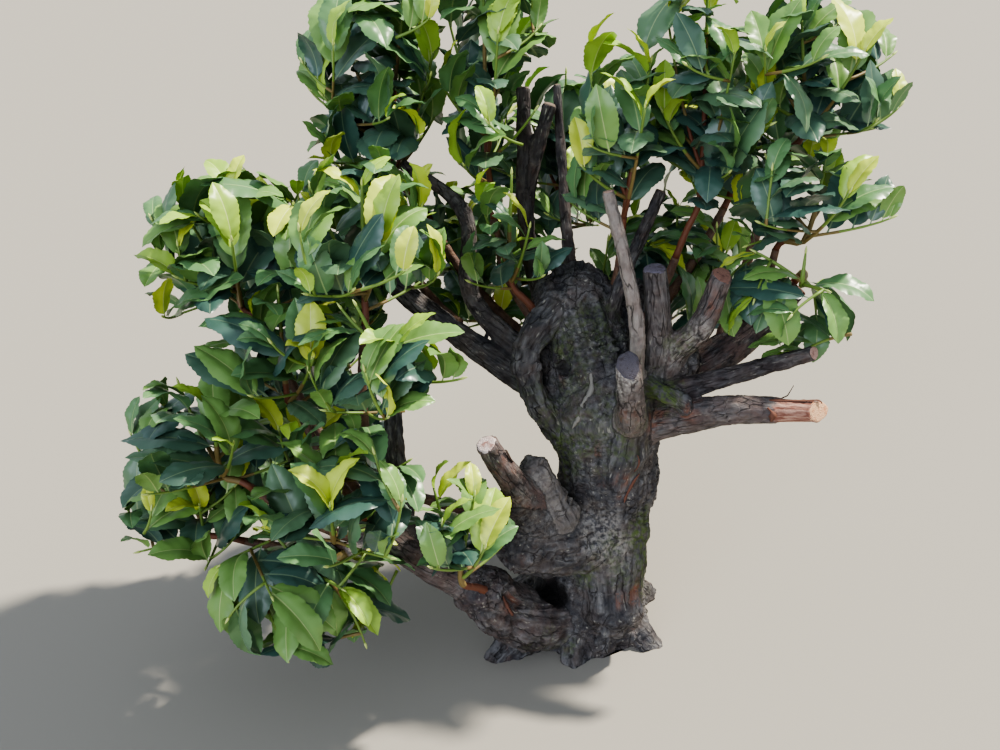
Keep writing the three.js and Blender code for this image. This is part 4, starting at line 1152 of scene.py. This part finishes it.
# The relief of the bark in millimetres, a pair for the stump and the limbs
LUMPS = (5.0, 1.0)
LUMP_SIZE = 34
FOLDS = (2.4, 0.8)
FOLD_SIZE = 13
CRESTS = (4.5, 0.6)
HEAD_CRESTS = 5.5
CREST_SIZE = 19
CREST_HIGH = 0.7  # share of a crest that stands above the surface
CRACK_DEPTH = (3.6, 1.2)
CRACK_SIZE = (11.0, 5.5)
CRACK_EDGE = 0.78  # each of the cracks is wider where this is lower
GRIT = 0.6
GRIT_SIZE = 4.6
CAVITY_DEPTH = 9
PEELED_DEPTH = 1.3
PEELED_SMOOTH = 0.85  # share of the relief that is gone where the bark is
SPOT_EDGE = 1.6  # where a spot fades to nothing, in its radii
DRAW_PASSES = 4  # that draw the skin on to the true surface
DRAW_STEP = 4  # the most that one moves a point


def spot_mask(points, name):
    mask = np.zeros(len(points))
    for *centre, radius, strength in SPOTS[name]:
        away = np.linalg.norm(points - centre, axis=1) / radius
        mask = np.maximum(mask, strength * np.clip(SPOT_EDGE - away, 0, 1))
    return mask


def make_bark():
    """The skin of the old wood, drawn on to its true surface, with relief and the masks of its look."""
    points, faces = rough_wood()
    foot = points[:, 2] < 0.01
    for _ in range(DRAW_PASSES):
        found = old_wood(points)
        step = found["gradient"] * np.clip(found["value"], -DRAW_STEP, DRAW_STEP)[:, None]
        step[foot, 2] = 0
        points = points - step
    found = old_wood(points)
    first, grain = found["first"], found["grain"]
    joined = np.clip((found["share"] - 0.5) * 2, 0, 1)

    def by_limb(sizes):
        return np.where(ON_STUMP, *sizes)[first]

    def spotted(name, uneven, size, seed):
        return spot_mask(points, name) + uneven * noise_at(points, size, seed)

    peeled = np.clip((spotted("peeled", 0.3, 8, 8) - 0.3) * 5, 0, 1)
    cavity = spot_mask(points, "cavity")
    folds = noise_at(points, FOLD_SIZE, 2) * by_limb(FOLDS)
    crests = np.where(LIMB_NAMES[first] == "head", HEAD_CRESTS, by_limb(CRESTS))
    folds += (CREST_HIGH - 2 * np.abs(noise_at(grain, CREST_SIZE, 11))) * joined * crests
    cracks = 1 - np.abs(noise_at(grain, by_limb(CRACK_SIZE)[:, None], 3))
    cracks = np.clip((cracks - CRACK_EDGE) / (1 - CRACK_EDGE), 0, 1) * (0.4 + 0.6 * joined)
    cracks = cracks * np.clip(0.6 + noise_at(points, 40, 9), 0, 1)
    relief = noise_at(points, LUMP_SIZE, 1) * by_limb(LUMPS) + folds
    relief = relief + noise_at(points, GRIT_SIZE, 4) * GRIT
    relief = relief - cracks * by_limb(CRACK_DEPTH) - CAVITY_DEPTH * cavity
    relief = relief * (1 - PEELED_SMOOTH * peeled) - PEELED_DEPTH * peeled
    points = points + found["gradient"] * np.where(found["flat"], 0, relief)[:, None]
    points[:, 2] = np.where(foot, 0, np.maximum(points[:, 2], 0.05))

    bark = piece("bark", points, faces)
    tone, redness = np.array([LIMB_TONES.get(name, (0, 0)) for name in LIMB_NAMES])[first].T
    moss = np.clip(spotted("moss", 0.5, 22, 5), 0, 1) * (spot_mask(points, "moss") > 0)
    masks = dict(
        moss=moss, red=np.clip(spotted("red", 0.6, 12, 6) - 0.2, 0, 1),
        # painted shade: the mask of the cracks darkens them in the colour
        pale=np.clip(spotted("pale", 0.25, 9, 7), 0, 1), crack_shade=cracks, peeled=peeled, tone=tone,
        # painted shade: the bark deep in the hollow and in the cavity is painted near black
        redness=redness, painted_shade=np.maximum(found["depth"], np.clip(cavity * 1.4, 0, 1)), joined=joined,
    )
    for name, mask in masks.items():
        layer(bark, name, "FLOAT", mask)
    layer(bark, "grain", "FLOAT_VECTOR", grain * by_limb((0.7, 1.0))[:, None])
    return bark, BVHTree.FromPolygons(points.tolist(), faces)


def bark_look():
    look = Look("bark", 0.85, 0.3)
    times, mask, spots = look.times, look.mask, look.spots
    cracks = times(times(look.cracks(13, 0.055), mask("joined")), spots(24, 3, 0.4, 0.56))
    fibres = spots(3.4, 6, 0.3, 0.7, grain=True)
    flecks = times(spots(3, 3, 0.62, 0.7, grain=True), spots(26, 3, 0.4, 0.6))
    wood = look.blend((178, 142, 126), (124, 82, 70), spots(4, 4, 0.36, 0.56, grain=True))
    colour = look.lay(look.blend((46, 44, 47), (116, 114, 114), fibres), (
        ((82, 70, 64), times(spots(21, 4, 0.46, 0.62), 0.55)),
        ((42, 43, 50), times(spots(33, 4, 0.48, 0.6), 0.6)),
        ((172, 162, 154), times(look.between(mask("tone"), 0, 1), 0.8)),
        ((36, 33, 35), times(look.between(mask("tone"), 0, -1), 0.8)),
        ((110, 82, 74), times(mask("redness"), spots(14, 5, 0.35, 0.6))),
        ((122, 78, 60), times(mask("red"), spots(5, 5, 0.42, 0.6, grain=True))),
        ((176, 170, 162), times(mask("pale"), spots(5, 5, 0.4, 0.6))),
        ((168, 164, 152), times(flecks, 0.7)),
        ((82, 96, 50), times(mask("moss"), spots(6, 6, 0.4, 0.6))),
        # painted shade: the cracks of the shader and those of the relief are darkened as if shade lay in
        # them
        ((30, 25, 24), times(cracks, 0.85)),
        ((34, 28, 27), times(mask("crack_shade"), 0.7)),
        (wood, mask("peeled")),
        # painted shade: near black in the hollow and the cavity, where shade falls
        ((24, 20, 19), mask("painted_shade")),
    ))
    grooves = times(cracks, look.between(mask("peeled"), 1, 0))
    height = look.node("Math", {0: fibres, 1: grooves}, operation="SUBTRACT")
    return look.finish(colour, height, 1.8)


bark, bark_skin = make_bark()
bark.data.materials.append(bark_look())
keep(bark, "bark", "stump", *STUBS)

# Saw cuts: the middle colour and the colour at the rim of each
CUT_LOOKS = {
    "lobe_stub": ((206, 190, 184), (150, 110, 100)),
    "face_stub": ((84, 80, 88), (60, 54, 58)),
    "upright_stub": ((112, 106, 118), (84, 74, 78)),
    "hooked_stub": ((130, 96, 84), (84, 56, 48)),
    "thick_right_stub": ((84, 62, 52), (120, 72, 46)),
    "upper_side_stub": ((190, 154, 144), (120, 84, 76)),
    "lower_side_stub": ((216, 178, 142), (190, 120, 84)),
    "pale_pole": ((176, 146, 132), (120, 98, 88)),
}
OTHER_CUT = ((120, 104, 92), (74, 60, 52))
CUT_RINGS = 9
CUT_SIDES = 36
CUT_INSET = 0.8  # from the edge of the stub
CUT_PROUD = 0.5  # how far its face stands off the wood
CUT_DOME = 0.7
CUT_SUNK = 1.4  # how far its rim is turned down into the wood


def make_cuts():
    """Slightly domed saw faces that stand a little proud of the stubs."""
    cuts = Pieces()
    reach = []
    for number, (name, stub) in enumerate(STUBS.items()):
        curve = OLD_WOOD[name].curve
        side, up = curve.across(1.0)
        slant = stub.get("slant", (0, 0))
        angle = around(CUT_SIDES)
        wobble = 1 + 0.05 * np.sin(3 * angle + number) + 0.03 * np.sin(7 * angle + 2 * number)
        share = np.arange(1, CUT_RINGS + 1)[:, None] / CUT_RINGS
        r = (stub["r1"] - CUT_INSET) * share * wobble
        x, z = r * np.cos(angle), r * np.sin(angle)
        tilt = x * slant[0] + z * slant[1] + CUT_PROUD + CUT_DOME * (1 - share ** 2)
        tilt[-1] -= CUT_SUNK
        rings = curve.at(1.0) - side * x[..., None] + up * z[..., None]
        middle = curve.at(1.0) + curve.along(1.0) * (CUT_PROUD + CUT_DOME)
        cuts.add_skin(rings + curve.along(1.0) * tilt[..., None], middles=[middle])
        reach += [*r.ravel(), 0.0]
    cut_faces = cuts.build("cut_faces")
    layer(cut_faces, "reach", "FLOAT", reach)
    for place, name in enumerate(("tint", "rim")):
        colours = [linear(*CUT_LOOKS.get(stub, OTHER_CUT)[place]) for stub in STUBS]
        layer(cut_faces, name, "FLOAT_COLOR", np.repeat(colours, CUT_RINGS * CUT_SIDES + 1, axis=0))
    return cut_faces


def cut_look():
    look = Look("cut_wood", 0.75, 0.3)
    edge = look.mask("rim", "Color")
    turns = {0: look.mask("reach"), 1: 4.2, 2: look.spots(5, 3, 0.0, 0.35)}
    wave = look.node("Math", turns, operation="MULTIPLY_ADD")
    rings = look.node("Math", {0: wave}, operation="SINE")
    colour = look.lay(look.mask("tint", "Color"), (
        (edge, look.times(rings, 0.35)),
        (edge, look.spots(7, 5, 0.5, 0.7)),
        ((50, 40, 36), look.times(look.spots(2.6, 4, 0.62, 0.7), 0.7)),
    ))
    return look.finish(colour, look.spots(1.6, 5), 0.5)


cuts = make_cuts()
cuts.data.materials.append(cut_look())
keep(cuts, "bark")

# Strips of loose bark and dead wood: where each runs, how far it stands off along its way and its
# half width
PEEL_LOOKS = {
    "dead_wood": plain("dead_wood", (134, 130, 123), 0.9, 0.1),
    "red_bark": plain("red_bark", (106, 72, 60), 0.85, 0.2),
    "dark_bark": plain("dark_bark", (70, 56, 50), 0.85, 0.2),
}
PEELS = [
    ("dead_wood", [(8, 9, 362), (11, 0, 347), (6, -8, 331), (-3, -11, 315), (-12, -16, 300)],
     (0.3, 1.4, 0.5), 4),
    ("red_bark", [(62, -30, 250), (57, -33, 235), (49, -36, 223), (46, -37, 212)], (1.5, 0.6, 1), 2.4),
    ("red_bark", [(59, -37, 276), (62, -33, 265), (59, -34, 254)], (0.6, 1, 0.6), 1.5),
    ("red_bark", [(200, -60, 358), (222, -62, 360), (240, -64, 361), (262, -66, 358)], (0, 1, 3), 2.6),
    ("dark_bark", [(214, -56, 358), (224, -54, 358), (228, -52, 358)], (0, 4, 16), 1.2),
    ("red_bark", [(196, -72, 356), (203, -80, 348), (200, -80, 336)], (0.6, 2, 0.6), 3.4),
    ("dark_bark", [(-92, -108, 322), (-88, -102, 312), (-84, -96, 300)], (3, 2, 1), 2.6),
    ("red_bark", [(-100, -92, 120), (-88, -100, 110), (-80, -98, 96)], (1, 1.5, 1), 3),
]
PEEL_STEP = 3  # between two rows of a strip
PEEL_THICK = 0.9
PEEL_SMOOTHING = 4


def make_peels():
    """Tapering strips that lie along the bark and stand off it a little."""
    peels = Pieces()
    for number, (look, way, off, half) in enumerate(PEELS):
        way = np.array(way, float)
        gone = np.concatenate([[0], np.cumsum(steps_of(way))])
        places = np.linspace(0, 1, max(4, int(gone[-1] / PEEL_STEP)) + 1)
        line = np.stack([np.interp(places * gone[-1], gone, axis) for axis in way.T], axis=1)
        found = [bark_skin.find_nearest(Vector(point)) for point in line]
        middle, normal = (np.array([hit[part] for hit in found]) for part in (0, 1))
        for _ in range(PEEL_SMOOTHING):
            normal[1:-1] = unit(normal[:-2] + 2 * normal[1:-1] + normal[2:])
            middle[1:-1] = (middle[:-2] + 2 * middle[1:-1] + middle[2:]) / 4
        middle = middle + normal * np.interp(places, np.linspace(0, 1, len(off)), off)[:, None]
        across = unit(np.cross(np.gradient(middle, axis=0), normal))
        half = half * (0.25 + 0.75 * np.sin(math.pi * (0.06 + 0.88 * places)))
        half = (half * (1 + 0.8 * noise_at(middle, 5, number)))[:, None]
        thick = normal * PEEL_THICK
        sides = [middle - across * half, middle + thick, middle + across * half, middle - thick]
        last = 4 * len(middle)
        faces = [*ring_faces(len(middle), 4), (3, 2, 1, 0), range(last - 4, last)]
        peels.add(np.stack(sides, axis=1).reshape(-1, 3), faces, list(PEEL_LOOKS).index(look))
    return peels.build("loose_bark", PEEL_LOOKS.values())


keep(make_peels(), "bark")

STEM_STEP = 3  # between two rings of a young stem
STEM_SIDES = 12
SCAR_STEP = 26  # between the ridges that old leaves left
SCAR_WIDTH = 2.4
SCAR_SHIFT = 9  # from one stem to the next


def make_stems():
    """Young stems with a ridge where each old leaf was."""
    stems = Pieces()
    for number, stem in enumerate(STEMS.values()):
        curve = limb_curve(stem)
        places = np.linspace(0, 1, int(curve.length / STEM_STEP))
        scar = (places * curve.length + SCAR_SHIFT * number) % SCAR_STEP - SCAR_STEP / 2
        radii = radius_at(stem, places) * (1 + 0.12 * np.exp(-(scar / SCAR_WIDTH) ** 2))
        stems.add_skin(tube(curve, places, radii, STEM_SIDES))
    return stems.build("young_stems")


def stem_look():
    look = Look("young_stem", 0.6)
    colour = look.blend((80, 54, 44), (112, 84, 64), look.spots(12, 5, 0.35, 0.65))
    colour = look.blend(colour, (70, 50, 42), look.spots(5, 4, 0.55, 0.7))
    return look.finish(colour, look.spots(2.4, 5), 0.4)


stems = make_stems()
stems.data.materials.append(stem_look())
keep(stems, "young_stem", *STEMS)

# Stage: pale ground, a soft sky, the sun from the upper right and a fill from the front left
scene = bpy.context.scene
FLOOR_HALF = 15000
FLOOR_DROP = 0.4  # below the plant's own foot
corners = [(x * FLOOR_HALF, y * FLOOR_HALF, -FLOOR_DROP) for x, y in ((-1, -1), (1, -1), (1, 1), (-1, 1))]
piece("floor", corners, [[0, 1, 2, 3]], [plain("floor", (150, 145, 136), 0.95, 0.1)])

scene.world = bpy.data.worlds.new("sky")
scene.world.use_nodes = True
sky = scene.world.node_tree.nodes["Background"].inputs
sky["Color"].default_value = linear(206, 216, 228)
sky["Strength"].default_value = 0.95


def sun(name, place, aim, strength, angle, colour):
    light = bpy.data.lights.new(name, "SUN")
    light.energy = strength
    light.angle = math.radians(angle)
    light.color = linear(*colour)[:3]
    thing = bpy.data.objects.new(name, light)
    thing.rotation_euler = (Vector(aim) - Vector(place)).to_track_quat("-Z", "Y").to_euler()
    scene.collection.objects.link(thing)


sun("sun", (0.9, 0.35, 1.6), (0, 0, 0.3), 8.5, 3, (255, 248, 234))
sun("fill", (-0.9, -1.8, 1.1), (0, 0, 0.3), 1.7, 40, (226, 236, 255))

camera_data = bpy.data.cameras.new("camera")
camera_data.lens = CAMERA_LENS
camera_data.sensor_width = CAMERA_SENSOR
camera = bpy.data.objects.new("camera", camera_data)
camera.location = CAMERA_PLACE
camera.rotation_euler = (math.radians(90 - CAMERA_PITCH), 0, 0)
scene.collection.objects.link(camera)
scene.camera = camera
scene.view_settings.view_transform = "AgX"
scene.view_settings.look = "AgX - Medium High Contrast"

bpy.context.view_layer.update()
